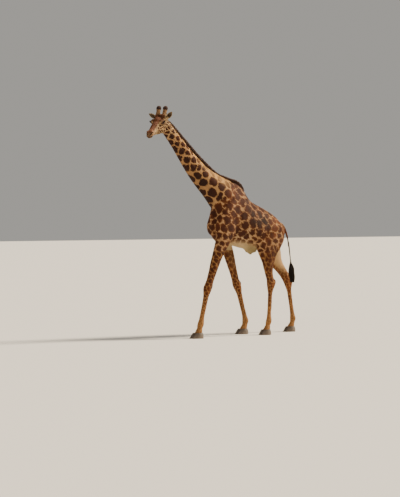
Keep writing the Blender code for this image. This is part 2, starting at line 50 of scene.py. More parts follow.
head = {
    "at": (0.14, -2.15, 4.318),
    "yaw": 30.0,
    "pitch": 23.0,
    "roll": 3.0,
    "size": 1.06,
    "eye": (0.116, -0.165, 0.034),
    "eyeRadius": 0.031,
    "hornRoot": (0.063, -0.02, 0.07),
    "hornTip": (0.068, 0.108, 0.226),
    "hornRadius": 0.046,
    "hornLength": 0.2,  # for the places along it
    "earRoot": (0.094, 0.022, 0.03),
    "earLength": 0.18,
    "earWidth": 0.053,
}
headMatrix = (
    Matrix.Translation(head["at"])
    @ Matrix.Rotation(math.radians(head["yaw"]), 4, "Z")
    @ Matrix.Rotation(math.radians(head["pitch"]), 4, "X")
    @ Matrix.Rotation(math.radians(head["roll"]), 4, "Y")
    @ Matrix.Scale(head["size"], 4)
)
headTurn = np.array(headMatrix)[:3, :3] / head["size"]


def moved(points, matrix):  # points times a 4x4 matrix
    m = np.array(matrix)
    return points @ m[:3, :3].T + m[:3, 3]


def onHead(points):  # from the head's own frame, where the nose points along -Y, to the body's
    return moved(np.asarray(points, float), headMatrix)


def toHead(points):  # the inverse of onHead
    return moved(np.asarray(points, float), headMatrix.inverted())


def headSpot(name, side=1):  # a place from the head's dictionary, on its left (1) or its right (-1)
    return np.array(head[name]) * (side, 1, 1)


def unit(v):  # v divided by its length
    return v / np.maximum(np.linalg.norm(v, axis=-1, keepdims=True), 1e-12)


def smoothStep(low, high, x):  # 3t^2 - 2t^3 of where x lies between low and high
    t = np.clip((x - low) / (high - low), 0, 1)
    return t * t * (3 - 2 * t)


def bell(x, middle, width):  # exp of minus the squared distance from middle, in widths
    return np.exp(-(((x - middle) / width) ** 2))


def mixed(a, b, share):  # a where share is 0, b where it is 1
    share = np.asarray(share)[..., None]
    return np.asarray(a) * (1 - share) + np.asarray(b) * share


def waves(points, seed, longest, shortest, count=9):
    # a smooth noise near -1 to 1: the mean of sines along random directions, wavelengths between the two
    draw = np.random.default_rng(seed)
    out = np.zeros(len(points))
    for _ in range(count):
        direction = unit(draw.normal(size=3))
        length = longest * (shortest / longest) ** draw.random()
        out += np.sin(points @ direction * (fullTurn / length) + draw.random() * fullTurn)
    return out / math.sqrt(count)


def smoothRows(rows, steps):
    # Catmull-Rom through the rows of a table: the cubic through b and c with slopes (c - a)/2 and (d - b)/2
    rows = np.array(rows, dtype=float)
    ends = np.vstack([2 * rows[0] - rows[1], rows, 2 * rows[-1] - rows[-2]])
    a, b, c, d = ends[:-3, None], ends[1:-2, None], ends[2:-1, None], ends[3:, None]
    t = np.linspace(0, 1, steps, endpoint=False)[None, :, None]
    cubic = 2 * b + (c - a) * t + (2 * a - 5 * b + 4 * c - d) * t**2 + (3 * b - a - 3 * c + d) * t**3
    return np.vstack([0.5 * cubic.reshape(-1, rows.shape[1]), rows[-1:]])


def farAlong(path):  # the length of a path up to each of its points
    return np.concatenate([[0], np.cumsum(np.linalg.norm(np.diff(path, axis=0), axis=1))])


def sampled(at, far, rows):  # every column of a table whose rows lie at far, read at other places
    return np.stack([np.interp(at, far, values) for values in np.transpose(rows)], axis=-1)


def numbersOf(items, key, width=1, kind=np.float32):  # one property of all of a mesh's items, a row for each
    out = np.empty(len(items) * width, kind)
    items.foreach_get(key, out)
    return out.reshape(-1, width) if width > 1 else out


def positions(mesh):  # x, y, z of every point
    return numbersOf(mesh.vertices, "co", 3).astype(float)


def normals(mesh):  # the direction square to the surface at every point
    mesh.update()
    return numbersOf(mesh.vertex_normals, "vector", 3).astype(float)


def edgesOf(mesh):  # the two points of every edge
    return numbersOf(mesh.edges, "vertices", 2, np.int32)


def facesOf(mesh):
    # where each face's corners start, how many it has, and the corners' points
    faces, corners = mesh.polygons, mesh.loops
    return (
        numbersOf(faces, "loop_start", kind=np.int32),
        numbersOf(faces, "loop_total", kind=np.int32),
        numbersOf(corners, "vertex_index", kind=np.int32),
    )


def setPositions(mesh, points):  # moves every point to its row
    mesh.vertices.foreach_set("co", np.asarray(points, np.float32).ravel())
    mesh.update()


def setMap(mesh, name, spots):  # a map with a row of u and v for every corner
    mesh.uv_layers.new(name=name).data.foreach_set("uv", spots.astype(np.float32).ravel())


def smoothed(mesh):  # the same mesh with all its faces shaded smooth
    mesh.polygons.foreach_set("use_smooth", np.ones(len(mesh.polygons), bool))
    return mesh


def newMesh(name, points, faces):
    # a mesh from arrays; faces are rows of three or four corners
    mesh = bpy.data.meshes.new(name)
    points = np.asarray(points, np.float32)
    faces = np.asarray(faces, np.int32)
    mesh.vertices.add(len(points))
    mesh.vertices.foreach_set("co", points.ravel())
    mesh.loops.add(faces.size)
    mesh.loops.foreach_set("vertex_index", faces.ravel())
    mesh.polygons.add(len(faces))
    mesh.polygons.foreach_set("loop_start", np.arange(0, faces.size, faces.shape[1], dtype=np.int32))
    mesh.update(calc_edges=True)
    return mesh


def closedMesh(name, points, faces):
    # a smooth mesh of faces of three or four corners, all turned outwards
    mesh = bpy.data.meshes.new(name)
    mesh.from_pydata(points, [], faces)
    edit = bmesh.new()
    edit.from_mesh(mesh)
    bmesh.ops.recalc_face_normals(edit, faces=edit.faces)
    edit.to_mesh(mesh)
    edit.free()
    return smoothed(mesh)


def tubeFaces(count, around):
    # quads between each ring and the next
    k, j = np.meshgrid(np.arange(count - 1), np.arange(around), indexing="ij")
    low, n = k * around, (j + 1) % around
    return np.stack([low + j, low + n, low + around + n, low + around + j], -1).reshape(-1, 4)


def loft(rings, folded=False):
    # rings (count, around, 3) as a closed surface: quads along it, a fan on each end, or a strip if folded
    count, around = rings.shape[:2]
    points = rings.reshape(-1, 3)
    faces = tubeFaces(count, around).tolist()
    last = (count - 1) * around
    if folded:
        for j in range(around // 2 - 1):
            strip = [j, j + 1, around - 2 - j, around - 1 - j]
            faces.append(strip[::-1])
            faces.append([last + k for k in strip])
    else:
        points = np.vstack([points, rings[0].mean(axis=0), rings[-1].mean(axis=0)])
        for j in range(around):
            n = (j + 1) % around
            faces.append([count * around, n, j])
            faces.append([count * around + 1, last + j, last + n])
    return points, faces


def eggRings(centre, side, rise, up, down, wide, topPinch, lowPinch, around=48):
    # centre + side * wide * sin, pinched towards the ring's top and bottom, + rise * (up or down) * cos
    turn = np.linspace(0, fullTurn, around, endpoint=False)
    s, c = np.sin(turn)[None], np.cos(turn)[None]
    high, low = np.clip(c, 0, 1), np.clip(-c, 0, 1)
    x = wide[:, None] * s * (1 - topPinch[:, None] * high**2) * (1 - lowPinch[:, None] * low**2)
    z = up[:, None] * high - down[:, None] * low
    return centre[:, None] + x[..., None] * side[:, None] + z[..., None] * rise[:, None]


def domed(rows, across=(3, 4, 5), reach=0.6):
    # end rows that shrink as sqrt(1 - part^2) over that share of the end's size, so a loft closes in a dome
    across = list(across)
    out = [row.copy() for row in rows]
    for end, near in ((0, 1), (-1, -2)):
        along = unit((rows[end] - rows[near])[:3])
        far = reach * rows[end][across].min()
        caps = []
        for part in (0.3, 0.5, 0.7, 0.85, 0.95, 0.99):
            cap = rows[end].copy()
            cap[:3] += along * far * part
            cap[across] *= math.sqrt(1 - part**2)
            caps.append(cap)
        out = caps[::-1] + out if end == 0 else out + caps
    return np.array(out)


def barrel(table, steps=9):
    # upright sections along Y; a row is y, top, bottom, half width, top pinch, bottom pinch
    t = smoothRows(table, steps)
    mid = t[:, 2] + 0.45 * (t[:, 1] - t[:, 2])
    rows = domed(np.column_stack([np.zeros(len(t)), t[:, 0], mid, t[:, 1] - mid, mid - t[:, 2], t[:, 3:]]))
    side, rise = (np.tile(axis, (len(rows), 1)) for axis in ((1.0, 0, 0), (0, 0, 1.0)))
    return loft(eggRings(rows[:, :3], side, rise, *rows[:, 3:].T))


def limb(table, side):
    # level sections down a leg; a row is z, y, half length, x, half width
    t = smoothRows(table, 8)
    rows = domed(np.column_stack([side * t[:, 3], t[:, 1], t[:, 0], t[:, 2], t[:, 2], t[:, 4]]))
    across, ahead = (np.tile(axis, (len(rows), 1)) for axis in ((1.0, 0, 0), (0, -1.0, 0)))
    none = np.zeros(len(rows))
    return loft(eggRings(rows[:, :3], across, ahead, *rows[:, 3:].T, none, none))


def column(table, hint, steps=9, around=48):
    # sections square to a path; a row is x, y, z, half up, half down, half width and the pinches
    rows = domed(smoothRows(table, steps))
    along = unit(np.gradient(rows[:, :3], axis=0))
    side = unit(np.cross(along, np.array(hint, float)))
    return loft(eggRings(rows[:, :3], side, np.cross(side, along), *rows[:, 3:].T, around=around))


def ball(at, radii, around=32):
    # a point is at + radii times the unit sphere's point of two angles
    polar = np.linspace(0, math.pi, around // 2 + 1)[1:-1]
    turn = np.linspace(0, fullTurn, around, endpoint=False)
    p, t = np.meshgrid(polar, turn, indexing="ij")
    points, faces = loft(np.stack([np.sin(p) * np.cos(t), np.sin(p) * np.sin(t), np.cos(p)], -1))
    points[-2:] = [(0, 0, 1), (0, 0, -1)]
    return points * np.array(radii) + np.array(at), faces


# the neck from the chest to the head: x, y, z, half throat side, half crest side, half width, the pinches
neckRows = [
    (0.0, -0.45, 2.73, 0.36, 0.36, 0.23, 0.1, 0.5),
    (0.0, -0.62, 2.885, 0.35, 0.355, 0.24, 0.1, 0.5),
    (0.0, -0.82, 3.04, 0.295, 0.278, 0.2, 0.1, 0.45),
    (0.004, -1.08, 3.245, 0.245, 0.218, 0.165, 0.1, 0.4),
    (0.015, -1.283, 3.44, 0.218, 0.186, 0.143, 0.1, 0.35),
    (0.035, -1.484, 3.65, 0.188, 0.154, 0.125, 0.1, 0.3),
    (0.058, -1.69, 3.88, 0.162, 0.128, 0.112, 0.1, 0.25),
    (0.082, -1.845, 4.035, 0.148, 0.116, 0.104, 0.1, 0.2),
    (0.105, -1.975, 4.165, 0.14, 0.114, 0.102, 0.1, 0.2),
    (0.122, -2.06, 4.25, 0.125, 0.11, 0.098, 0.1, 0.2),
]
neckHint = (0, -0.7, -0.7)

# z, y, half length, x, half width, from the body down to the hoof
legRows = {
    "foreLeft": [
        (2.85, -0.42, 0.13, 0.12, 0.075), (2.6, -0.5, 0.21, 0.18, 0.105), (2.35, -0.6, 0.245, 0.205, 0.118),
        (2.12, -0.645, 0.235, 0.212, 0.118), (1.95, -0.695, 0.195, halfTrack, 0.108),
        (1.8, -0.775, 0.158, halfTrack, 0.095), (1.65, -0.845, 0.132, halfTrack, 0.086),
        (1.5, -0.905, 0.116, halfTrack, 0.08), (1.3, -0.975, 0.095, halfTrack, 0.074),
        (1.12, -1.045, 0.086, halfTrack, 0.07), (1.02, -1.085, 0.1, halfTrack, 0.083),
        (0.93, -1.108, 0.088, halfTrack, 0.075), (0.83, -1.135, 0.064, 0.225, 0.058),
        (0.6, -1.195, 0.058, 0.228, 0.053), (0.4, -1.245, 0.058, 0.23, 0.053),
        (0.28, -1.272, 0.076, 0.23, 0.066), (0.2, -1.295, 0.066, 0.23, 0.06),
        (0.1, -1.33, 0.088, 0.23, 0.08),
    ],
    "foreRight": [
        (2.85, -0.3, 0.13, 0.12, 0.075), (2.6, -0.37, 0.21, 0.18, 0.105),
        (2.35, -0.44, 0.245, 0.205, 0.118), (2.12, -0.445, 0.235, 0.212, 0.118),
        (1.95, -0.405, 0.195, halfTrack, 0.108), (1.8, -0.325, 0.155, halfTrack, 0.095),
        (1.65, -0.255, 0.128, halfTrack, 0.086), (1.5, -0.205, 0.112, halfTrack, 0.08),
        (1.3, -0.14, 0.094, halfTrack, 0.074), (1.12, -0.08, 0.085, halfTrack, 0.07),
        (1.02, -0.048, 0.098, halfTrack, 0.082), (0.93, -0.018, 0.087, halfTrack, 0.075),
        (0.83, 0.02, 0.063, 0.225, 0.057), (0.6, 0.09, 0.057, 0.228, 0.052),
        (0.4, 0.15, 0.057, 0.23, 0.052), (0.28, 0.18, 0.075, 0.23, 0.065), (0.2, 0.165, 0.066, 0.23, 0.06),
        (0.1, 0.125, 0.088, 0.23, 0.08),
    ],
    "hindLeft": [
        (2.22, 0.58, 0.22, 0.13, 0.11), (2.1, 0.56, 0.29, 0.165, 0.13), (1.97, 0.53, 0.33, 0.19, 0.128),
        (1.8, 0.455, 0.31, 0.205, 0.118), (1.65, 0.425, 0.225, 0.215, 0.1),
        (1.5, 0.43, 0.155, halfTrack, 0.085), (1.35, 0.437, 0.113, halfTrack, 0.072),
        (1.2, 0.462, 0.092, halfTrack, 0.062), (1.12, 0.49, 0.094, halfTrack, 0.066),
        (1.04, 0.505, 0.104, halfTrack, 0.072), (0.95, 0.492, 0.08, halfTrack, 0.064),
        (0.85, 0.482, 0.056, 0.222, 0.05), (0.6, 0.465, 0.051, 0.224, 0.047),
        (0.4, 0.45, 0.052, 0.225, 0.048), (0.28, 0.443, 0.07, 0.225, 0.062),
        (0.2, 0.42, 0.062, 0.225, 0.056), (0.1, 0.38, 0.084, 0.225, 0.076),
    ],
    "hindRight": [
        (2.22, 0.6, 0.22, 0.13, 0.11), (2.1, 0.62, 0.29, 0.16, 0.13), (1.97, 0.67, 0.31, 0.18, 0.13),
        (1.8, 0.755, 0.285, 0.188, 0.125), (1.65, 0.825, 0.245, 0.195, 0.108),
        (1.5, 0.915, 0.19, 0.2, 0.09), (1.35, 1.045, 0.158, 0.205, 0.076), (1.2, 1.185, 0.135, 0.21, 0.068),
        (1.12, 1.243, 0.125, 0.212, 0.068), (1.04, 1.282, 0.11, 0.214, 0.072),
        (0.95, 1.3, 0.08, 0.216, 0.064), (0.85, 1.318, 0.056, 0.218, 0.05),
        (0.6, 1.365, 0.051, 0.222, 0.047), (0.4, 1.403, 0.052, 0.225, 0.048),
        (0.28, 1.425, 0.07, 0.225, 0.062), (0.2, 1.405, 0.062, 0.225, 0.056),
        (0.1, 1.365, 0.084, 0.225, 0.076),
    ],
}
sideOf = {"foreLeft": 1, "foreRight": -1, "hindLeft": 1, "hindRight": -1}
# x, y, z, radius
tailRows = [
    (0.0, 0.86, 2.285, 0.046), (0.0, 0.955, 2.245, 0.04), (0.0, 1.035, 2.15, 0.033), (0.0, 1.098, 2.0, 0.027),
    (0.0, 1.14, 1.8, 0.025), (0.0, 1.172, 1.6, 0.024), (0.0, 1.19, 1.48, 0.023),
]


def headForms():
    # skull and muzzle in the head's own frame, from barrels and balls
    forms = [
        barrel([
            (-0.605, -0.06, -0.118, 0.04, 0.1, 0.1), (-0.575, -0.03, -0.128, 0.056, 0.2, 0.1),
            (-0.53, 0.0, -0.13, 0.066, 0.3, 0.2), (-0.47, 0.028, -0.128, 0.066, 0.3, 0.3),
            (-0.39, 0.06, -0.142, 0.074, 0.3, 0.35), (-0.31, 0.086, -0.164, 0.089, 0.3, 0.4),
            (-0.235, 0.098, -0.188, 0.1, 0.3, 0.45), (-0.165, 0.11, -0.202, 0.112, 0.25, 0.45),
            (-0.095, 0.114, -0.2, 0.112, 0.25, 0.45), (-0.025, 0.106, -0.172, 0.106, 0.25, 0.35),
            (0.04, 0.08, -0.12, 0.088, 0.25, 0.2),
        ]),
        ball((0, -0.175, 0.095), (0.052, 0.085, 0.045)),
        ball((0, 0.03, 0.072), (0.07, 0.06, 0.05)),
    ]
    for side in (-1, 1):
        forms.append(ball((side * 0.088, -0.16, 0.044), (0.05, 0.066, 0.046)))
        forms.append(ball((side * 0.058, -0.11, -0.118), (0.04, 0.1, 0.08)))
        forms.append(ball((side * 0.042, -0.525, -0.03), (0.028, 0.045, 0.035)))
        forms.append(ball((side * 0.06, -0.02, 0.088), (0.042, 0.05, 0.042)))
        forms.append(ball((side * 0.092, 0.018, 0.03), (0.034, 0.036, 0.034)))
        forms.append(hornForm(side))
        forms.append(earForm(side))
    return [(onHead(points), faces) for points, faces in forms]


def hornForm(side):
    # a bull's ossicone: a stout stem of round sections from root to tip, with a knobbed top
    root, tip = headSpot("hornRoot", side), headSpot("hornTip", side)
    table = []
    for part, thick in ((0, 1.22), (0.25, 1.05), (0.5, 0.9), (0.72, 0.9), (0.88, 1.04), (1, 0.9)):
        radius = head["hornRadius"] * thick
        table.append((*(root + (tip - root) * part), radius, radius, radius, 0, 0))
    return column(table, (0, -1, 0), steps=6, around=24)


earLook = {
    "left": (0.68, 0.0, 0.73),  # which way it points
    "right": (-0.84, 0.12, 0.42),
    "front": (0.25, -0.93, 0.1),  # which way its hollow faces
    "out": 0.012,  # the leaf starts this far out
    "cup": (0.03, 0.55),  # depth of the hollow, and how much shallower it is at the tip
    "thick": (0.007, 0.25),  # half its thickness, and how much thinner it is at the tip
}


def earAxes(side):
    # the ear's root, and its length, front and width directions
    along = unit(np.array(earLook["left" if side > 0 else "right"]))
    front = np.array(earLook["front"]) * (side, 1, 1)
    front = unit(front - along * (front @ along))
    return headSpot("earRoot", side) + along * earLook["out"], along, front, np.cross(along, front)


def earWidthAt(u):  # half width of the leaf at share u of its length
    return head["earWidth"] * (0.36 + 1.72 * u * (1 - u) ** 0.75 + 0.22 * (1 - u) ** 6) * (1 - 0.72 * u**5)


def earCupAt(u, w):  # depth of the hollow at share u of its length and w of its half width: 1 - w^2
    depth, less = earLook["cup"]
    return depth * (1 - less * u) * (1 - w * w)


def earForm(side):
    # a leaf of rings: half width earWidthAt(u), cupped by earCupAt(u, w), and thinner towards the tip
    root, along, front, across = earAxes(side)
    u = np.linspace(0, 1, 40)[:, None, None]
    w = np.linspace(-1, 1, 21)[None, :, None]
    half, cup = earWidthAt(u), earCupAt(u, w)
    thick = earLook["thick"][0] * (1 - earLook["thick"][1] * u)
    spine = root + along * head["earLength"] * u
    outer = spine + across * (half * w) - front * (cup + thick)
    inner = spine + across * (half * w * 0.88) - front * (cup - thick)
    return loft(np.concatenate([outer, inner[:, ::-1]], axis=1), folded=True)


def bodyForms():
    # trunk, neck, sheath, tail and legs in the body's frame, with the bumps of the knees and the heels
    forms = [
        barrel([
            (-0.835, 2.5, 2.04, 0.135, 0.2, 0.3), (-0.72, 2.84, 1.91, 0.225, 0.3, 0.3),
            (-0.52, 3.04, 1.87, 0.285, 0.5, 0.25), (-0.3, withers, 1.825, 0.31, 0.65, 0.2),
            (-0.1, 3.02, belly + 0.03, 0.325, 0.6, 0.15), (0.1, 2.77, belly, 0.335, 0.5, 0.1),
            (0.32, 2.655, belly + 0.01, 0.335, 0.45, 0.1), (0.55, 2.55, belly + 0.06, 0.315, 0.45, 0.15),
            (0.75, 2.43, belly + 0.12, 0.275, 0.45, 0.2),
            (0.88, tailHead + 0.01, belly + 0.21, 0.175, 0.4, 0.2),
        ]),
        column(neckRows, neckHint),
        ball((0.0, 0.14, 1.745), (0.055, 0.16, 0.075)),
        ball((0.0, 0.125, 1.69), (0.034, 0.05, 0.048)),
        column([(x, y, z, r, r, r, 0, 0) for x, y, z, r in tailRows], (0, -1, 0), steps=8, around=20),
    ]
    for leg, rows in legRows.items():
        forms.append(limb(rows, sideOf[leg]))
    for side, knee, heel in ((1, -1.005, 0.595), (-1, 0.03, 1.378)):
        forms.append(ball((side * halfTrack, knee, 1.045), (0.036, 0.04, 0.06)))
        forms.append(ball((side * 0.218, heel, 1.075), (0.03, 0.04, 0.072)))
    return forms


neckPath = smoothRows(neckRows, 12)[:, :3]
neckAlong = unit(np.gradient(neckPath, axis=0))
neckSide = unit(np.cross(neckAlong, np.array(neckHint, float)))
neckCrest = np.cross(neckAlong, neckSide)
neckFar = farAlong(neckPath)
tailPath = smoothRows(tailRows, 8)[:, :3]
# y and z of the trunk's middle
trunkMid = np.array([(-0.84, 2.25), (-0.52, 2.4), (-0.3, 2.42), (0.1, 2.22), (0.55, 2.15), (0.9, 2.12)])
legLevels = {name: np.array(rows)[::-1] for name, rows in legRows.items()}
legNames, earNames, hornNames = list(legRows), ["earLeft", "earRight"], ["hornLeft", "hornRight"]
parts = ["trunk", "neck", "head", *legNames, "tail", *earNames, *hornNames]
partNumber = {name: k for k, name in enumerate(parts)}


def isPart(part, *names):  # True where the part's number is one of the named parts'
    return np.isin(part, [partNumber[name] for name in names])


def legMiddle(name, z):  # x and y of a leg's middle at height z
    rows = legLevels[name]
    return sideOf[name] * np.interp(z, rows[:, 0], rows[:, 3]), np.interp(z, rows[:, 0], rows[:, 1])


def legSize(name, z):  # half length and half width of a leg at height z
    rows = legLevels[name]
    return np.interp(z, rows[:, 0], rows[:, 2]), np.interp(z, rows[:, 0], rows[:, 4])


def legRadius(name, z):  # of a circle as large as the leg there: the root of the product of the two
    return np.sqrt(np.prod(legSize(name, z), axis=0))


def onNeck(points):
    # share of the neck's length, and angle round it from the crest (0) over the left side to the throat (pi)
    near = np.argmin(((points[:, None] - neckPath[None]) ** 2).sum(-1), axis=1)
    away = points - neckPath[near]
    along = neckFar[near] + (away * neckAlong[near]).sum(-1)
    turn = np.arctan2((away * neckSide[near]).sum(-1), (away * neckCrest[near]).sum(-1))
    return along / neckFar[-1], turn, near


def nearTail(points):  # each point's way from the tail's nearest place, and how far that is
    near = np.linalg.norm(points[:, None] - tailPath[None], axis=-1).argmin(axis=1)
    away = points - tailPath[near]
    return away, np.linalg.norm(away, axis=1)


def hornAxis(side):  # from the ossicone's root to its tip
    return unit(headSpot("hornTip", side) - headSpot("hornRoot", side))


def inPart(points, name):
    # place along the named part and angle round it
    if name == "neck":
        return onNeck(points)[:2]
    if name in legNames:
        x, y = legMiddle(name, points[:, 2])
        long, wide = legSize(name, points[:, 2])
        return points[:, 2], np.arctan2((points[:, 0] - x) * sideOf[name] / wide, -(points[:, 1] - y) / long)
    if name == "tail":
        away, _ = nearTail(points)
        return points[:, 2], np.arctan2(away[:, 0], away[:, 1])
    if name == "trunk":
        middle = np.interp(points[:, 1], *trunkMid.T)
        return points[:, 1], np.arctan2(points[:, 0], points[:, 2] - middle)
    local = toHead(points)
    if name == "head":
        return local[:, 1], np.arctan2(local[:, 0], local[:, 2] + 0.03)
    side = 1 if name.endswith("Left") else -1
    if name in earNames:
        root, along, front, across = earAxes(side)
        away = local - root
        return away @ along / head["earLength"], np.arctan2(away @ front, away @ across)
    away, axis = local - headSpot("hornRoot", side), hornAxis(side)
    off = away - (away @ axis)[:, None] * axis
    return away @ axis / head["hornLength"], np.arctan2(off[:, 0], off[:, 1])


borders = {
    # a place on the border and the way across it
    "neck": ((0, -0.61, 2.89), (0, -0.7, 0.71)),
    "head": ((0.12, -1.985, 4.215), (0.25, -0.9, 0.4)),
    # from how far out along its middle line, and within how far of it
    "horn": (0.045, 0.06),
    "ear": (0.035, 0.075),
    "tail": (0.955, 2.27, 0.065),  # behind, below and within how far
    "foreTop": 1.745,
    "hindTop": (1.635, 0.355, 0.14),  # its height at the last number, and its rise for each metre behind that
    "sheath": (0.07, 1.6),  # half width and lowest place
}
# which way the hair lies
lies = {
    "trunk": (0.0, 0.85, -0.5),
    "flank": (0.5, 2.3, 1.9),  # how much steeper it gets, and between which heights
    "neck": (0, 0, -0.25),  # besides back along the neck
    "face": (0, -0.8, -0.4),
    "nape": (0, 0.7, -0.5),
    "leg": (0, 0.12, -1),
    "tail": (0, 0.1, -1),
}


def placed(points):
    # each point's part, place along that part and angle round it, and which way the hair lies there
    x, y, z = points.T
    part = np.zeros(len(points), int)
    lie = np.tile(lies["trunk"], (len(points), 1))
    lie[:, 2] -= lies["flank"][0] * smoothStep(*lies["flank"][1:], z)
    local = toHead(points)

    def beyond(name):
        at, way = np.array(borders[name])
        return (points - at) @ way > 0

    mine = np.flatnonzero(beyond("neck") & (y < 0))
    part[mine] = partNumber["neck"]
    lie[mine] = -neckAlong[onNeck(points[mine])[2]] + np.array(lies["neck"])
    isHead = beyond("head")
    part[isHead] = partNumber["head"]
    lie[isHead] = mixed(lies["face"], lies["nape"], smoothStep(-0.12, 0.0, local[isHead, 1])) @ headTurn.T
    for side, word in ((1, "Left"), (-1, "Right")):
        roots = (("horn", headSpot("hornRoot", side), hornAxis(side)), ("ear", *earAxes(side)[:2]))
        for kind, root, axis in roots:
            start, within = borders[kind]
            away = local - root
            reach = away @ axis
            off = np.linalg.norm(away - reach[:, None] * axis, axis=1)
            mine = isHead & (reach > start) & (off < within)
            part[mine] = partNumber[kind + word]
            lie[mine] = axis @ headTurn.T
    # legs: below the belly everything but the sheath
    top, rise, start = borders["hindTop"]
    low = z < np.where(y > 0.1, top + rise * (y - start), borders["foreTop"])
    low &= ~((np.abs(x) < borders["sheath"][0]) & (z > borders["sheath"][1])) & (y < 1.6)
    nearest = np.full(len(points), 1e9)
    for name in legNames:
        middle, size = legMiddle(name, z), legSize(name, z)
        off = np.hypot((x - middle[0]) / size[1], (y - middle[1]) / size[0])
        mine = low & (off < nearest) & (x * sideOf[name] > -0.05)
        nearest = np.where(mine, off, nearest)
        part[mine] = partNumber[name]
        lie[mine] = lies["leg"]
    behind, below, within = borders["tail"]
    mine = (nearTail(points)[1] < within) & (y > behind) & (z < below)
    part[mine] = partNumber["tail"]
    lie[mine] = lies["tail"]
    along, turn = np.zeros(len(points)), np.zeros(len(points))
    for name, number in partNumber.items():
        mine = np.flatnonzero(part == number)
        along[mine], turn[mine] = inPart(points[mine], name)
    return {"part": part, "along": along, "turn": turn, "lie": unit(lie), "local": local}


skinSizes = {
    "grain": 0.0223,  # edge of the grid on the body
    "finer": 3.6,  # how many times finer it is on the head
    "reach": 0.4,  # how far from the head's middle it is finer
    "coatDepth": 0.0045,  # from the skin up to the tips of the coat
    "faceDepth": 0.0025,
    "earDepth": 0.001,
}
# rounds of smoothing: all of the skin, the body again, and where the head's forms meet
rounds = {"all": 3, "body": 2, "face": 21}
# places of the head, and the distance round them within which the skin is finer again
refinedRound = [(head["eye"], 0.056), (head["eye"], 0.041), ((0.055, -0.56, -0.035), 0.05)]
refinedMouth = ((0, -0.56, -0.095), 0.074)
headMiddle = onHead([[0, -0.2, 0.01]])[0]


def stretched(points, back=False):
    # distance r from the head's middle becomes finer * r up to the reach, then grows by the same length
    finer, reach = skinSizes["finer"], skinSizes["reach"]
    away = points - headMiddle
    r = np.linalg.norm(away, axis=1)
    if back:
        new = np.where(r < finer * reach, r / finer, r - (finer - 1) * reach)
    else:
        new = np.where(r < reach, r * finer, r + (finer - 1) * reach)
    return headMiddle + away * (new / np.maximum(r, 1e-9))[:, None]


def softened(points, edges, share, rounds):
    # each point moves its share of the way to the mean of its neighbours, again and again
    count = len(points)
    degree = np.bincount(edges.ravel(), minlength=count)[:, None]
    share = np.broadcast_to(share, count)[:, None]
    for _ in range(rounds):
        sums = [
            np.bincount(edges[:, 0], points[edges[:, 1], k], count)
            + np.bincount(edges[:, 1], points[edges[:, 0], k], count)
            for k in range(points.shape[1])
        ]
        points = points + share * (np.stack(sums, 1) / degree - points)
    return points


def remeshed(forms):
    # all the closed forms as one surface of even quads, finer on the head
    start, points, faces = 0, [], []
    for formPoints, formFaces in forms:
        points.append(stretched(formPoints))
        faces += [[start + corner for corner in face] for face in formFaces]
        start += len(formPoints)
    mesh = bpy.data.meshes.new("forms")
    mesh.from_pydata(np.vstack(points), [], faces)
    made = bpy.data.objects.new("forms", mesh)
    bpy.context.scene.collection.objects.link(made)
    grain = made.modifiers.new("grain", "REMESH")
    grain.mode = "VOXEL"
    grain.voxel_size = skinSizes["grain"]
    bpy.context.view_layer.update()
    out = bpy.data.meshes.new_from_object(made.evaluated_get(bpy.context.evaluated_depsgraph_get()))
    bpy.data.objects.remove(made, do_unlink=True)
    setPositions(out, stretched(positions(out), back=True))
    return out


def refined(mesh, place, radius):
    # splits every edge near a place of the head in two
    edit = bmesh.new()
    edit.from_mesh(mesh)
    middle = Vector(onHead([place])[0])
    near = [e for e in edit.edges if (e.verts[0].co - middle).length < radius]
    bmesh.ops.subdivide_edges(edit, edges=near, cuts=1, use_grid_fill=True)
    edit.to_mesh(mesh)
    edit.free()


mouthPath = [
    (0.0, -0.636, -0.1), (0.026, -0.624, -0.099), (0.045, -0.59, -0.096), (0.06, -0.53, -0.092),
    (0.068, -0.465, -0.086), (0.072, -0.42, -0.078),
]
nostrilPath = [
    (0.04, -0.596, -0.042), (0.05, -0.574, -0.032), (0.059, -0.548, -0.026), (0.064, -0.528, -0.03),
]
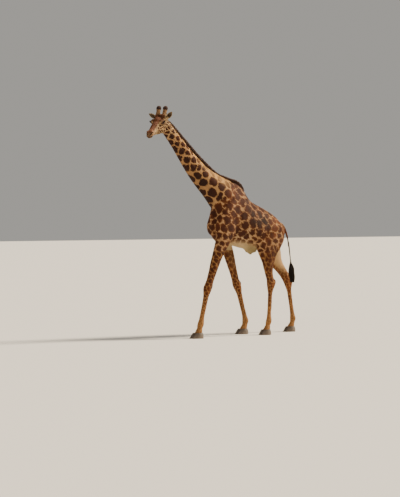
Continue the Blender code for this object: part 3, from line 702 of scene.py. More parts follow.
# strokes on both sides of the head, in its own frame: path, width, height (a groove's is negative)
headStrokes = [
    ([(0.128, -0.215, 0.06), (0.136, -0.17, 0.082), (0.122, -0.115, 0.074)], 0.014, 0.006),  # brow
    ([(0.124, -0.215, 0.006), (0.134, -0.165, -0.004), (0.126, -0.11, 0.01)], 0.009, 0.002),  # under the eye
    ([(0.118, -0.15, -0.02), (0.1, -0.235, -0.022), (0.08, -0.35, -0.03)], 0.013, 0.005),  # cheek bone
    ([(0.11, -0.2, -0.062), (0.088, -0.3, -0.07), (0.074, -0.39, -0.078)], 0.022, -0.006),  # under it
    ([(0.11, -0.105, 0.05), (0.1, -0.06, 0.07)], 0.024, -0.006),  # temple
    ([(0.098, -0.02, -0.01), (0.096, -0.04, -0.09), (0.082, -0.09, -0.16)], 0.02, 0.005),  # back of the jaw
    ([(0.078, -0.11, -0.185), (0.062, -0.22, -0.18), (0.05, -0.36, -0.145)], 0.012, 0.0035),  # its edge
    ([(0.0, -0.14, -0.215), (0.0, -0.38, -0.15)], 0.02, -0.008),  # between the jaws
    ([(0.03, -0.23, 0.11), (0.028, -0.36, 0.07), (0.024, -0.48, 0.022)], 0.01, 0.002),  # nose bone
    ([(0.064, -0.24, 0.07), (0.056, -0.36, 0.036), (0.054, -0.46, 0.004)], 0.016, -0.004),  # beside the nose
    ([(0.104, -0.215, 0.02), (0.092, -0.27, 0.012), (0.084, -0.32, 0.004)], 0.007, -0.0025),  # tear line
    ([(0.06, -0.41, -0.04), (0.066, -0.47, -0.05), (0.062, -0.54, -0.062)], 0.02, 0.004),  # upper lip
    ([(0.0, -0.62, -0.082), (0.03, -0.606, -0.08), (0.048, -0.575, -0.076)], 0.012, 0.0045),  # lip's front
    ([(0.0, -0.59, -0.13), (0.024, -0.57, -0.132), (0.036, -0.53, -0.132)], 0.014, 0.004),  # chin
    (mouthPath, 0.005, -0.01),
    ([(0.0, -0.636, -0.088), (0.026, -0.622, -0.087), (0.048, -0.59, -0.084), (0.062, -0.53, -0.08)],
     0.006, 0.0035),
    ([(0.076, -0.412, -0.07), (0.079, -0.4, -0.084), (0.073, -0.408, -0.098)], 0.006, 0.002),  # its corner
    ([(0.0, -0.634, -0.052), (0.0, -0.626, -0.088)], 0.004, -0.003),  # cleft of the lip
    ([(0.036, -0.6, -0.03), (0.046, -0.578, -0.014), (0.056, -0.545, -0.01), (0.062, -0.515, -0.024)],
     0.008, 0.004),
    ([(0.04, -0.598, -0.048), (0.053, -0.57, -0.05), (0.064, -0.53, -0.046)], 0.008, 0.003),  # nostril's rims
    (nostrilPath, 0.0068, -0.019),
    ([(0.106, 0.01, 0.0), (0.122, 0.016, 0.02)], 0.012, 0.003),  # foot of the ear
    ([(0.08, 0.02, -0.06), (0.06, 0.03, -0.11)], 0.014, -0.005),  # throat latch
]
# on both sides of the trunk, in the body's frame
trunkStrokes = [
    ([(0.175, -0.36, 2.98), (0.235, -0.5, 2.66), (0.275, -0.64, 2.32)], 0.045, 0.011),  # shoulder blade
    ([(0.16, -0.22, 2.98), (0.26, -0.28, 2.62), (0.31, -0.36, 2.2)], 0.05, -0.012),  # behind the shoulder
    ([(0.2, -0.6, 2.8), (0.24, -0.72, 2.48)], 0.05, -0.008),  # before it
    ([(0.2, -0.83, 2.3), (0.22, -0.8, 2.2)], 0.06, 0.012),  # point of the shoulder
    ([(0.31, -0.56, 2.28), (0.32, -0.48, 2.12)], 0.08, 0.01),  # triceps
    ([(0.29, -0.68, 2.14), (0.31, -0.62, 2.0)], 0.03, -0.007),
    ([(0.0, -0.96, 2.42), (0.0, -0.9, 2.12), (0.0, -0.78, 1.94)], 0.035, -0.012),  # down the breast
    ([(0.09, -0.9, 2.28), (0.09, -0.84, 2.1)], 0.055, 0.008),
    ([(0.29, 0.4, 2.36), (0.32, 0.34, 2.2), (0.33, 0.28, 2.05)], 0.06, -0.013),  # flank hollow
    ([(0.31, 0.2, 1.98), (0.3, 0.1, 1.88), (0.26, -0.02, 1.8)], 0.03, 0.005),
    ([(0.22, 0.47, 2.5), (0.28, 0.46, 2.44)], 0.042, 0.013),  # hip bone
    ([(0.25, 0.62, 2.44), (0.22, 0.78, 2.34)], 0.05, -0.007),
    ([(0.12, 0.93, 2.2), (0.13, 0.95, 2.1)], 0.05, 0.008),  # seat bone
    ([(0.0, -0.1, 3.02), (0.0, 0.2, 2.72), (0.0, 0.6, 2.54), (0.0, 0.84, 2.36)], 0.022, 0.006),  # spine
    ([(0.05, 0.0, 2.86), (0.06, 0.3, 2.66), (0.06, 0.62, 2.5)], 0.03, -0.004),
    ([(0.055, 0.14, 1.76), (0.07, 0.26, 1.8), (0.06, 0.34, 1.84)], 0.02, -0.007),  # beside the sheath
]
# on one leg each: the leg, path as height, angle from the front over the outer side in degrees, width, height
legStrokes = {
    "fore": [
        ([(1.78, 100), (1.55, 96), (1.34, 92)], 0.03, 0.005),
        ([(1.72, 50), (1.5, 46), (1.28, 40)], 0.018, -0.004),
        ([(1.7, 140), (1.45, 146), (1.22, 150)], 0.016, -0.004),
        ([(1.09, 0), (1.0, 0)], 0.04, 0.005),  # knee
        ([(1.11, 80), (1.07, 80)], 0.022, 0.004), ([(0.98, 80), (0.95, 80)], 0.022, 0.004),
        ([(1.11, -80), (0.96, -80)], 0.024, 0.003),
        ([(0.935, 0), (0.92, 40), (0.925, -40)], 0.01, -0.003),
        ([(0.86, 180), (0.6, 180), (0.36, 180)], 0.014, 0.006),  # sinew
        ([(0.86, 128), (0.6, 126), (0.36, 128)], 0.01, -0.005),
        ([(0.86, -128), (0.6, -126), (0.36, -128)], 0.01, -0.005),
    ],
    "hind": [
        ([(1.74, 96), (1.55, 92), (1.35, 88)], 0.04, 0.006),
        ([(1.62, 140), (1.4, 138), (1.24, 140)], 0.018, -0.007),  # before the big sinew
        ([(1.55, -140), (1.38, -140), (1.24, -140)], 0.018, -0.006),
        ([(1.42, 180), (1.25, 180), (1.12, 180)], 0.016, 0.004),
        ([(1.1, 60), (1.02, 60)], 0.022, 0.004), ([(1.08, -60), (1.0, -60)], 0.022, 0.004),  # hock
        ([(1.1, 120), (1.0, 125)], 0.014, -0.004), ([(1.1, -120), (1.0, -125)], 0.014, -0.004),
        ([(0.88, 180), (0.6, 180), (0.36, 180)], 0.014, 0.006),
        ([(0.88, 126), (0.6, 126), (0.36, 128)], 0.01, -0.005),
        ([(0.88, -126), (0.6, -126), (0.36, -128)], 0.01, -0.005),
    ],
    "both": [
        ([(0.3, 110), (0.27, 110)], 0.018, 0.004),  # fetlock
        ([(0.3, -110), (0.27, -110)], 0.018, 0.004),
        ([(0.275, 180), (0.255, 180)], 0.02, 0.005),
        ([(0.205, 120), (0.2, 180), (0.205, -120)], 0.012, -0.005),
        ([(0.27, 0), (0.18, 0), (0.12, 0)], 0.01, -0.004),
    ],
}
# along the neck: share of its length from and to, angle from the crest in degrees, width in degrees, height
neckStrokes = [
    (0.18, 1.0, 24, 9, -0.0045), (0.1, 0.95, 62, 20, 0.005), (0.12, 1.0, 104, 9, -0.0035),
    (0.15, 0.98, 128, 14, 0.0045), (0.2, 1.0, 151, 8, -0.0055), (0.22, 1.0, 180, 14, 0.004),
]
ribs = {"every": 0.082, "slant": 0.28, "height": 0.0022, "middle": (0.1, 2.25), "reach": 0.26}
uneven = [(0.0011, 3, 0.16, 0.07), (0.0005, 4, 0.05, 0.02)]  # height, seed and the longest and shortest wave
eyeLids = {
    "gaze": (0.95, -0.3, 0.04),
    "corners": (0, -1.0, -0.16),  # from the back corner to the front one
    "long": 0.0275,
    "above": 0.0205,
    "below": 0.0165,
    "almond": 1.7,  # the power of the rim's curve
    "thick": 0.0024,
    # height, place and width of the folds round the rim: edge and crease, then those above and below only
    "edge": (0.0022, 1.1, 0.1),
    "creaseAbove": (-0.0018, 1.42, 0.1),
    "fold": (0.002, 1.72, 0.16),
    "creaseBelow": (-0.0012, 1.5, 0.1),
}


def pathDistance(points, path):
    # distance to the nearest stretch of a path of straight lines
    best = np.full(len(points), 1e9)
    path = np.array(path, float)
    for a, b in zip(path[:-1], path[1:]):
        run = b - a
        t = np.clip((points - a) @ run / max(run @ run, 1e-12), 0, 1)
        best = np.minimum(best, np.linalg.norm(points - a - t[:, None] * run, axis=1))
    return best


def snapped(points, path, grain=0.006):
    # the path every centimetre, moved onto the points' surface: to the bell-weighted mean of those near it
    path = np.array(path, float)
    far = farAlong(path)
    fine = sampled(np.linspace(0, far[-1], max(3, int(far[-1] / 0.01))), far, path)
    away = np.linalg.norm(points[None] - fine[:, None], axis=-1)
    weight = np.exp(-(away ** 2 - away.min(axis=1)[:, None] ** 2) / (2 * grain ** 2))
    return weight @ points / weight.sum(axis=1)[:, None]


def strokesOn(points, strokes):
    # the sum over strokes of height times a bell of the distance to the stroke's path
    lift = np.zeros(len(points))
    for path, width, height in strokes:
        low, high = np.min(path, axis=0) - 3 * width, np.max(path, axis=0) + 3 * width
        near = np.flatnonzero(((points > low) & (points < high)).all(axis=1))
        lift[near] += height * bell(pathDistance(points[near], path), 0, width)
    return lift


def eyeFrame(points, side):
    # a point's place about the eye: towards the front corner, up, along the gaze, in the head's frame
    gaze = unit(np.array(eyeLids["gaze"]) * (side, 1, 1))
    ahead = np.array(eyeLids["corners"], float)
    ahead = unit(ahead - gaze * (ahead @ gaze))
    up = np.cross(gaze, ahead) * -side
    away = points - headSpot("eye", side)
    return np.stack([away @ ahead, away @ up, away @ gaze], axis=1), np.stack([ahead, up, gaze])


def slitShare(place):
    # 1 on the rim of the lids: |x / long|^power + |z / high|^power, with another height above than below
    high, power = np.where(place[:, 1] > 0, eyeLids["above"], eyeLids["below"]), eyeLids["almond"]
    wide, tall = np.abs(place[:, 0] / eyeLids["long"]), np.abs(place[:, 1] / high)
    return (wide ** power + tall ** power) ** (1 / power)


def lidded(points):
    # the skin round each eye: outside the rim it lies on the eyeball as a lid, inside it goes behind it
    local = toHead(points)
    ballSize = head["eyeRadius"] / head["size"]

    def raised(name, rho):
        height, middle, width = eyeLids[name]
        return height * bell(rho, middle, width)

    for side in (1, -1):
        place, axes = eyeFrame(local, side)
        far = np.linalg.norm(place, axis=1)
        near = (far < 2.2 * ballSize) & (place[:, 2] > -0.2 * ballSize) & (local[:, 0] * side > 0.05)
        near = np.flatnonzero(near)
        place, far = place[near], far[near]
        rho = slitShare(place)
        cover = ballSize + eyeLids["thick"] + raised("edge", rho) + raised("fold", rho)
        cover += raised("creaseAbove", rho) * (place[:, 1] > -0.004)
        cover += raised("creaseBelow", rho) * (place[:, 1] < 0)
        share = smoothStep(2.7, 1.25, rho)
        lid = np.maximum(far * (1 - share) + cover * share, np.where(place[:, 2] > 0, cover * share, 0))
        hidden = ballSize - 0.0045
        new = hidden + (lid - hidden) * smoothStep(0.92, 1.0, rho)
        place = place * (new / far)[:, None]
        local[near] = place @ axes + headSpot("eye", side)
    return onHead(local)


def legLift(name, height, turn):
    # a leg's strokes, each drawn three times, a turn apart, so that it closes round the leg's back
    size = legRadius(name, height)
    turned = [np.stack([height, (turn + whole) * size], axis=1) for whole in (-fullTurn, 0, fullTurn)]
    lift = np.zeros(len(height))
    for path, width, rise in legStrokes[name[:4]] + legStrokes["both"]:
        levels, angles = np.transpose(path)
        ends = np.stack([levels, np.radians(angles) * legRadius(name, levels)], axis=1)
        lift += rise * bell(np.min([pathDistance(flat, ends) for flat in turned], axis=0), 0, width)
    return lift


def sculpted(mesh):
    # muscles, bones and folds as heights along the normal, then the lids
    points = positions(mesh)
    where = placed(points)
    part, along, turn, local = (where[key] for key in ("part", "along", "turn", "local"))
    local[:, 0] = np.abs(local[:, 0])
    onFace = isPart(part, "head")
    lift = np.zeros(len(points))
    face = local[onFace]
    drawn = [(snapped(face, path), width, height) for path, width, height in headStrokes]
    lift[onFace] = strokesOn(face, drawn) * head["size"]
    folded = np.column_stack([np.abs(points[:, 0]), points[:, 1:]])
    low = ~isPart(part, "head", "tail")
    lift[low] += strokesOn(folded[low], trunkStrokes)
    x, y, z = folded.T
    wave = np.cos(fullTurn * (y + ribs["slant"] * z) / ribs["every"])
    wave *= bell(y, ribs["middle"][0], ribs["reach"]) * bell(z, ribs["middle"][1], ribs["reach"])
    lift += ribs["height"] * wave * isPart(part, "trunk") * smoothStep(0.15, 0.25, x)
    for name in legNames:
        mine = isPart(part, name)
        lift[mine] += legLift(name, along[mine], turn[mine])
    mine = isPart(part, "neck")
    share, angle = along[mine], np.degrees(np.abs(turn[mine]))
    for start, end, middle, width, height in neckStrokes:
        fade = smoothStep(start, start + 0.15, share) * smoothStep(end, end - 0.12, share)
        lift[mine] += height * bell(angle, middle, width) * fade
    # skin is never quite even
    for (height, *kind), here in zip(uneven, (~onFace, 1)):
        lift += height * waves(points, *kind) * here
    setPositions(mesh, points + normals(mesh) * lift[:, None])
    setPositions(mesh, lidded(positions(mesh)))


def inset(mesh):
    # the skin lies inside the solids by the coat's depth, which thins towards the face and the ears
    points = positions(mesh)
    part = placed(points)["part"]
    depth = np.full(len(points), skinSizes["coatDepth"])
    depth[isPart(part, "head")] = skinSizes["faceDepth"]
    depth[isPart(part, *earNames)] = skinSizes["earDepth"]
    depth = softened(depth[:, None], edgesOf(mesh), 0.5, 8)
    setPositions(mesh, points - normals(mesh) * depth)


def skinShape():
    # the forms as one surface, smoothed, drawn in by the coat's depth, finer at eyes and mouth, and sculpted
    mesh = remeshed(bodyForms() + headForms())
    print("skin: remeshed", len(mesh.polygons))
    points, edges = positions(mesh), edgesOf(mesh)
    part = placed(points)["part"]
    onFace, ear, horn = isPart(part, "head"), isPart(part, *earNames), isPart(part, *hornNames)
    # a share of the smoothing for each part, spread over its borders
    for share, spread, times in (
        (np.where(ear, 0.25, np.where(horn, 0.3, 0.5)), 6, rounds["all"]),
        (np.where(ear | onFace | horn, 0.0, 0.5), 8, rounds["body"]),
        (np.where(onFace, 0.5, 0.0), 5, rounds["face"]),
    ):
        points = softened(points, edges, softened(share[:, None], edges, 0.5, spread)[:, 0], times)
    # the leg ends flat at the coronet, inside the hoof
    points[:, 2] = np.maximum(points[:, 2], coronet - 0.012)
    setPositions(mesh, points)
    inset(mesh)
    for side in (1, -1):
        for place, radius in refinedRound:
            refined(mesh, np.array(place) * (side, 1, 1), radius)
    refined(mesh, *refinedMouth)
    sculpted(mesh)
    print("skin: sculpted", len(mesh.polygons))
    return mesh


# each part's box on the skin's map, and the stretch of the part it holds: left, right, bottom, top, from, to
charts = {
    "trunk": (0.004, 0.6, 0.004, 0.45, -1.05, 1.08),
    "neck": (0.004, 0.6, 0.47, 0.79, -0.1, 1.12),
    "head": (0.612, 0.996, 0.525, 0.99, -0.7, 0.16),
    "foreLeft": (0.612, 0.996, 0.004, 0.12, 0.07, 1.8),
    "foreRight": (0.612, 0.996, 0.132, 0.25, 0.07, 1.8),
    "hindLeft": (0.612, 0.996, 0.262, 0.38, 0.07, 2.02),
    "hindRight": (0.612, 0.996, 0.392, 0.48, 0.07, 2.02),
    "tail": (0.612, 0.996, 0.492, 0.512, 1.2, 2.35),
    "earLeft": (0.004, 0.29, 0.805, 0.89, 0.1, 1.1),
    "earRight": (0.004, 0.29, 0.905, 0.99, 0.1, 1.1),
    "hornLeft": (0.305, 0.6, 0.805, 0.89, 0.1, 1.3),
    "hornRight": (0.305, 0.6, 0.905, 0.99, 0.1, 1.3),
}


def unbroken(turn, owner, count):
    # the angles of a face that lies over the seam go on past a whole turn
    top = np.full(count, -9.0)
    np.maximum.at(top, owner, turn)
    return np.where(top[owner] - turn > math.pi, turn + fullTurn, turn)


def mapped(mesh):
    # along the part to the right, round it upwards; a face over the seam goes on past the top
    points = positions(mesh)
    starts, sizes, corners = facesOf(mesh)
    part = placed(np.add.reduceat(points[corners], starts) / sizes[:, None])["part"]
    spots, flat = np.zeros((len(corners), 2)), np.zeros((len(corners), 2))
    owner = np.repeat(np.arange(len(sizes)), sizes)
    for name, number in partNumber.items():
        mine = np.flatnonzero(part[owner] == number)
        used, back = np.unique(corners[mine], return_inverse=True)
        along, turn = (values[back] for values in inPart(points[used], name))
        turn = unbroken(turn, owner[mine], len(sizes))
        left, right, bottom, high, first, last = charts[name]
        spots[mine, 0] = left + (right - left) * (along - first) / (last - first)
        spots[mine, 1] = bottom + (high - bottom) * (turn / fullTurn + 0.5) * 0.95
        flat[mine] = furPlace(name, points[used][back], along, turn)
    setMap(mesh, "OFBake", spots)
    setMap(mesh, "fur", flat)
    mesh.uv_layers.active = mesh.uv_layers["OFBake"]


# radius of a part for the map of its hair, and metres for each unit along it
furRound = {
    "trunk": (0.42, 1), "neck": (0.17, neckFar[-1]), "head": (0.11, 1), "tail": (0.03, 1),
    **dict.fromkeys(earNames + hornNames, (0.03, 0.18)),
}


def furPlace(name, points, along, turn):
    # metres across and along the lie of the hair
    if name in legNames:
        return np.stack([turn * legRadius(name, points[:, 2]), points[:, 2]], axis=1)
    around, long = furRound[name]
    return np.stack([turn * around, along * long], axis=1)


marks = {
    # spacing of the patches and half the pale gap between them, in metres
    "trunk": (0.182, 0.01),
    "shoulder": (0.168, 0.0092),
    "rump": (0.13, 0.0082),
    "underside": (0.11, 0.012),
    "neckLow": (0.22, 0.013),
    "neckHigh": (0.15, 0.013),
    "head": (0.062, 0.008),
    "thigh": (0.105, 0.008),
    "shin": (0.066, 0.0065),
    "foot": (0.048, 0.008),
    "warp": (0.02, 0.15),  # how far the borders wander, at that spacing
    "wander": (0.28, 0.06),  # longest and shortest wave of it
    "calm": 0.45,  # the share of it left on the neck
    "soft": 0.07,  # how round a patch's corners are, in spacings
    "blotch": (0.49, 0.13),  # radius on the neck in spacings, and how much smaller at the crest
    "samples": 14000,  # places tried for a middle
    "apart": 0.8,  # least distance of two middles, in spacings
    "seed": 11,
}
# linear colours
shades = {
    "patch": (0.058, 0.012, 0.002),
    "dark": (0.02, 0.0045, 0.001),
    "red": (0.135, 0.034, 0.0055),
    "line": (0.44, 0.24, 0.102),
    # painted sunlight: the warm colour of lit hair, laid on the crest side of the neck, the top of the rump
    # and the hind legs' inner side
    "sunlitGold": (0.62, 0.35, 0.112),
    "pale": (0.56, 0.39, 0.21),
    "olive": (0.36, 0.27, 0.12),
    "leg": (0.31, 0.148, 0.044),
    "nose": (0.125, 0.042, 0.016),
    "lip": (0.03, 0.015, 0.01),
    "pink": (0.36, 0.16, 0.085),
    "ear": (0.175, 0.115, 0.055),
    "horn": (0.27, 0.145, 0.065),
    "hornTop": (0.04, 0.015, 0.01),
    "black": (0.012, 0.007, 0.005),
    "tail": (0.032, 0.012, 0.004),
    "mane": (0.03, 0.0085, 0.0025),
}
# where a ramp starts and where it is full: a name ends in X, Y or Z, in Up for a share of the neck's or the
# horn's length, in Round for degrees round the neck or a leg, or in Tone for spacings from a patch's middle
zones = {
    "trunkY": (-0.55, -0.2), "rumpY": (0.35, 0.7), "undersideZ": (2.1, 1.9), "neckUp": (0.05, 0.95),
    "footZ": (1.15, 0.75), "shinZ": (1.75, 1.3), "blotchRound": (62, 40), "blotchUp": (0.0, 0.25),
    "redY": (0.3, 0.75), "redTone": (0.3, 0.5), "throatRound": (75, 138), "darkUp": (0.0, 0.2),
    "crestRound": (75, 30), "risenUp": (0.0, 0.24), "topUp": (0.8, 1.0), "fadedUp": (0.66, 0.34),
    "underX": (0.24, 0.12), "underY": (-0.75, -0.45), "underZ": (1.99, 1.84), "sheathX": (0.12, 0.07),
    "elbowZ": (2.28, 2.02), "innerRound": (-35, -70), "backRound": (-175, -150), "bareZ": (1.15, 1.45),
    "legZ": (0.15, 0.85), "redZ": (1.3, 0.6), "rearZ": (2.0, 1.4), "thighX": (0.15, 0.24),
    "thighY": (0.15, 0.4), "sunlitRumpY": (0.25, 0.7), "sunlitRumpZ": (2.1, 2.35), "tailZ": (2.27, 2.13),
    "tailFade": (1.9, 2.1),
    # in the head's own frame
    "bridgeX": (0.075, 0.045), "bridgeY": (-0.02, -0.1), "bridgeZ": (-0.03, 0.01), "tipY": (-0.46, -0.54),
    "muzzleY": (-0.5, -0.57), "pinkZ": (-0.09, -0.04), "crownX": (0.12, 0.09), "crownZ": (0.045, 0.085),
    "cheekY": (-0.42, -0.3), "cheekZ": (0.035, 0.01), "chinY": (-0.4, -0.5), "chinZ": (-0.105, -0.12),
    # in rims of the lids, as slitShare gives them
    "rimBare": (1.62, 1.22), "rimDarkSkinAndShade": (2.9, 1.7), "rimBlackSkinAndShade": (2.3, 1.5), "rimFade": (2.9, 2.1),
    # depth of the ear's hollow, share of its length, share of its half width
    "hollow": (-0.003, 0.003), "earUp": (0.95, 0.45), "earDark": (1.0, 0.55), "earPale": (0.6, 0.95),
    "hornUp": (0.62, 0.8),
}


def ramp(zone, x):  # smoothStep over one of the zones
    return smoothStep(*zones[zone], x)


def spacingAt(points, where):
    # the patches' spacing and half gap, blended along the body
    part, along = where["part"], where["along"]
    y, z = points[:, 1], points[:, 2]
    out = mixed(marks["shoulder"], marks["trunk"], ramp("trunkY", y))
    out = mixed(out, marks["rump"], ramp("rumpY", y))
    out = mixed(out, marks["underside"], ramp("undersideZ", z))
    neck, leg = isPart(part, "neck"), isPart(part, *legNames)
    out[neck] = mixed(marks["neckLow"], marks["neckHigh"], ramp("neckUp", along[neck]))
    out[isPart(part, "head")] = marks["head"]
    low = mixed(marks["shin"], marks["foot"], ramp("footZ", z[leg]))
    out[leg] = mixed(marks["thigh"], low, ramp("shinZ", z[leg]))
    return out


def patchMiddles(points, where):
    # middles at least a spacing apart, picked at random, then moved towards the middle of what lies nearest
    rng = np.random.default_rng(marks["seed"])
    tried = rng.permutation(len(points))[:marks["samples"]]
    some, room = points[tried], spacingAt(points, where)[tried, 0]

    def beyond(k):
        return np.linalg.norm(some - some[k], axis=1) > marks["apart"] * room[k]

    free = np.ones(len(some), bool)
    chosen = list(nearNeck(*(where[key][tried] for key in ("part", "along", "turn"))))
    fixed = len(chosen)
    for k in chosen:
        free &= beyond(k)
    for k in range(len(some)):
        if free[k]:
            chosen.append(k)
            free &= beyond(k)
    middles = some[chosen]
    for _ in range(2):
        owner = np.concatenate([
            np.linalg.norm(block[:, None] - middles[None], axis=-1).argmin(axis=1)
            for block in np.array_split(some, 28)
        ])
        weight = np.bincount(owner, minlength=len(middles))[:, None]
        sums = np.stack([np.bincount(owner, values, len(middles)) for values in some.T], axis=1)
        mean = sums / np.maximum(weight, 1)
        middles[fixed:] = 0.5 * middles[fixed:] + 0.5 * mean[fixed:]
    return middles


neckBlotches = {
    "rows": (36, 82, 130),  # degrees from the crest
    "from": (0.03, 0.95),  # first and last place along the neck
    "shift": 0.05,  # how much later every second row starts
    "gap": (0.104, 0.084),  # between two of a row at the neck's foot and at its top, as shares of its length
    "stray": (0.012, 5),  # along the neck, and round it in degrees
    "radius": 0.16,
}


def nearNeck(part, along, turn):
    # the samples nearest to rows of blotches along the neck, every second row shifted by half a gap
    neck = np.flatnonzero(isPart(part, "neck"))
    rng = np.random.default_rng(3)
    first, last = neckBlotches["from"]
    for side in (1, -1):
        for row, angle in enumerate(neckBlotches["rows"]):
            share = first + neckBlotches["shift"] * ((row + (side < 0)) % 2)
            while share < last:
                shift, sway = (rng.normal(0, far) for far in neckBlotches["stray"])
                away = (turn[neck] - side * math.radians(angle + sway)) * neckBlotches["radius"]
                yield int(neck[np.hypot((along[neck] - share - shift) * neckFar[-1], away).argmin()])
                share += float(np.interp(share, (0, 1), neckBlotches["gap"]))


def nearestPatches(points, where, middles):
    # metres inside the nearest patch: (d2^2 - d1^2) / (2 |c1 - c2|), the soft least of the next three,
    # less half the gap; on the neck at most a blotch's radius less d1; the patch's number; d1 in spacings
    part, along, turn = (where[key] for key in ("part", "along", "turn"))
    size = spacingAt(points, where)
    swing = np.stack([waves(points, 20 + k, *marks["wander"]) for k in range(3)], axis=1)
    calm = np.where(isPart(part, "neck"), marks["calm"], 1.0)[:, None]
    far, spacing = marks["warp"]
    strayed = points + swing * calm * (far * size[:, :1] / spacing)
    inside, tone = np.empty(len(points)), np.empty(len(points))
    first = np.empty(len(points), int)
    for block in np.array_split(np.arange(len(points)), max(1, len(points) // 6000)):
        far = np.linalg.norm(strayed[block][:, None] - middles[None], axis=-1)
        close = np.argpartition(far, 4, axis=1)[:, :4]
        dist = np.take_along_axis(far, close, axis=1)
        order = np.argsort(dist, axis=1)
        close, dist = (np.take_along_axis(values, order, axis=1) for values in (close, dist))
        apart = np.linalg.norm(middles[close[:, 1:]] - middles[close[:, :1]], axis=-1)
        edge = (dist[:, 1:] ** 2 - dist[:, :1] ** 2) / (2 * apart)
        soft = marks["soft"] * size[block, 0]
        edge = -soft * np.log(np.exp(-edge / soft[:, None]).sum(axis=1))
        edge = edge + 0.25 * soft - size[block, 1]
        # on the neck a patch is a rounded blotch
        radius, less = marks["blotch"]
        radius = radius - less * ramp("blotchRound", np.degrees(np.abs(turn[block])))
        blotch = radius * size[block, 0] - dist[:, 0]
        share = isPart(part[block], "neck") * ramp("blotchUp", along[block])
        inside[block] = np.minimum(edge, np.where(share > 0, edge * (1 - share) + blotch * share, edge))
        first[block], tone[block] = close[:, 0], dist[:, 0] / size[block, 0]
    return inside, first, tone


def tint(colours, name, share):
    # moves colours by a share of the way to a shade
    colours[:] = mixed(colours, shades[name], np.clip(np.asarray(share, float), 0, 1))


def bodyTints(points, where, ground, patch, lot, tone):
    # trunk and neck; gives the share of the patches that shows
    part, along, angle = where["part"], where["along"], np.degrees(np.abs(where["turn"]))
    trunk, neck = isPart(part, "trunk"), isPart(part, "neck")
    x, y, z = np.abs(points[:, 0]), points[:, 1], points[:, 2]
    body = trunk | neck
    # painted shade on the middle of the flank darkens its patches and pale lines; the random tone of each
    # patch is the hair's own
    flank = bell(y, 0.12, 0.42) * bell(z, 2.35, 0.28)
    tint(patch, "dark", 0.75 * flank + 0.55 * (lot - 0.35) * body)
    tint(ground, "patch", 0.28 * flank * body)
    tint(patch, "red", 0.75 * ramp("redY", y) * (lot > 0.25) + 0.5 * ramp("redTone", tone))
    throat, crest = ramp("throatRound", angle) * neck, ramp("crestRound", angle) * neck
    risen = ramp("risenUp", along)
    # painted shade: the patches on the throat side of the neck are darkened
    tint(patch, "dark", (0.6 * throat + 0.25 * neck) * ramp("darkUp", along))
    # painted sunlight: the ground turns golden on the crest side of the neck, and a little all over it
    tint(ground, "sunlitGold", (0.85 * crest + 0.22 * neck) * risen)
    tint(patch, "red", 0.7 * crest * risen)
    tint(ground, "pale", neck * ramp("topUp", along) * 0.7)
    # painted shade: the ground on the throat side darkens towards the patches' colour
    tint(ground, "patch", 0.38 * throat * risen)
    # below the chest and the belly the patches thin out into pale hair
    under = ramp("underX", x) * ramp("underZ", z) * ramp("underY", y)
    under = np.maximum(under, ramp("sheathX", x) * (z < 1.82)) * trunk
    tint(ground, "olive", under)
    # paler hair behind the elbow
    tint(ground, "pale", 0.7 * trunk * bell(y, -0.22, 0.2) * ramp("elbowZ", z))
    return (1 - under) * (1 - 0.5 * crest * risen * ramp("fadedUp", along))


def legTints(points, where, ground, patch):
    # legs, thighs and rump: bare on the inner side high up, and fading towards the hooves
    part, angle = where["part"], np.degrees(where["turn"])
    trunk, leg = isPart(part, "trunk"), isPart(part, *legNames)
    x, y, z = np.abs(points[:, 0]), points[:, 1], points[:, 2]
    inner = ramp("innerRound", angle) * ramp("backRound", angle) * ramp("bareZ", z)
    bare = leg * inner * np.where(y > 0.33, 1.0, 0.22)
    tint(ground, "leg", leg)
    tint(ground, "pale", bare * 0.8)
    tint(patch, "red", leg * 0.5 * ramp("redZ", z))
    rear = leg * (y > 0) * ramp("rearZ", z)
    tint(patch, "red", 0.15 * rear)
    # painted sunlight: warm gold on the pale inner side of the hind legs high up
    tint(ground, "sunlitGold", 0.45 * bare * rear)
    # painted shade darkens the thighs, and painted sunlight makes the top of the rump golden
    thigh = (leg | trunk) * ramp("thighY", y) * bell(z, 1.66, 0.26) * ramp("thighX", x)
    tint(ground, "patch", 0.42 * thigh)
    tint(patch, "dark", 0.45 * thigh)
    tint(ground, "sunlitGold", 0.6 * trunk * ramp("sunlitRumpY", y) * ramp("sunlitRumpZ", z))
    return (1 - 0.92 * bare) * np.where(leg, 0.35 + 0.65 * ramp("legZ", z), 1)


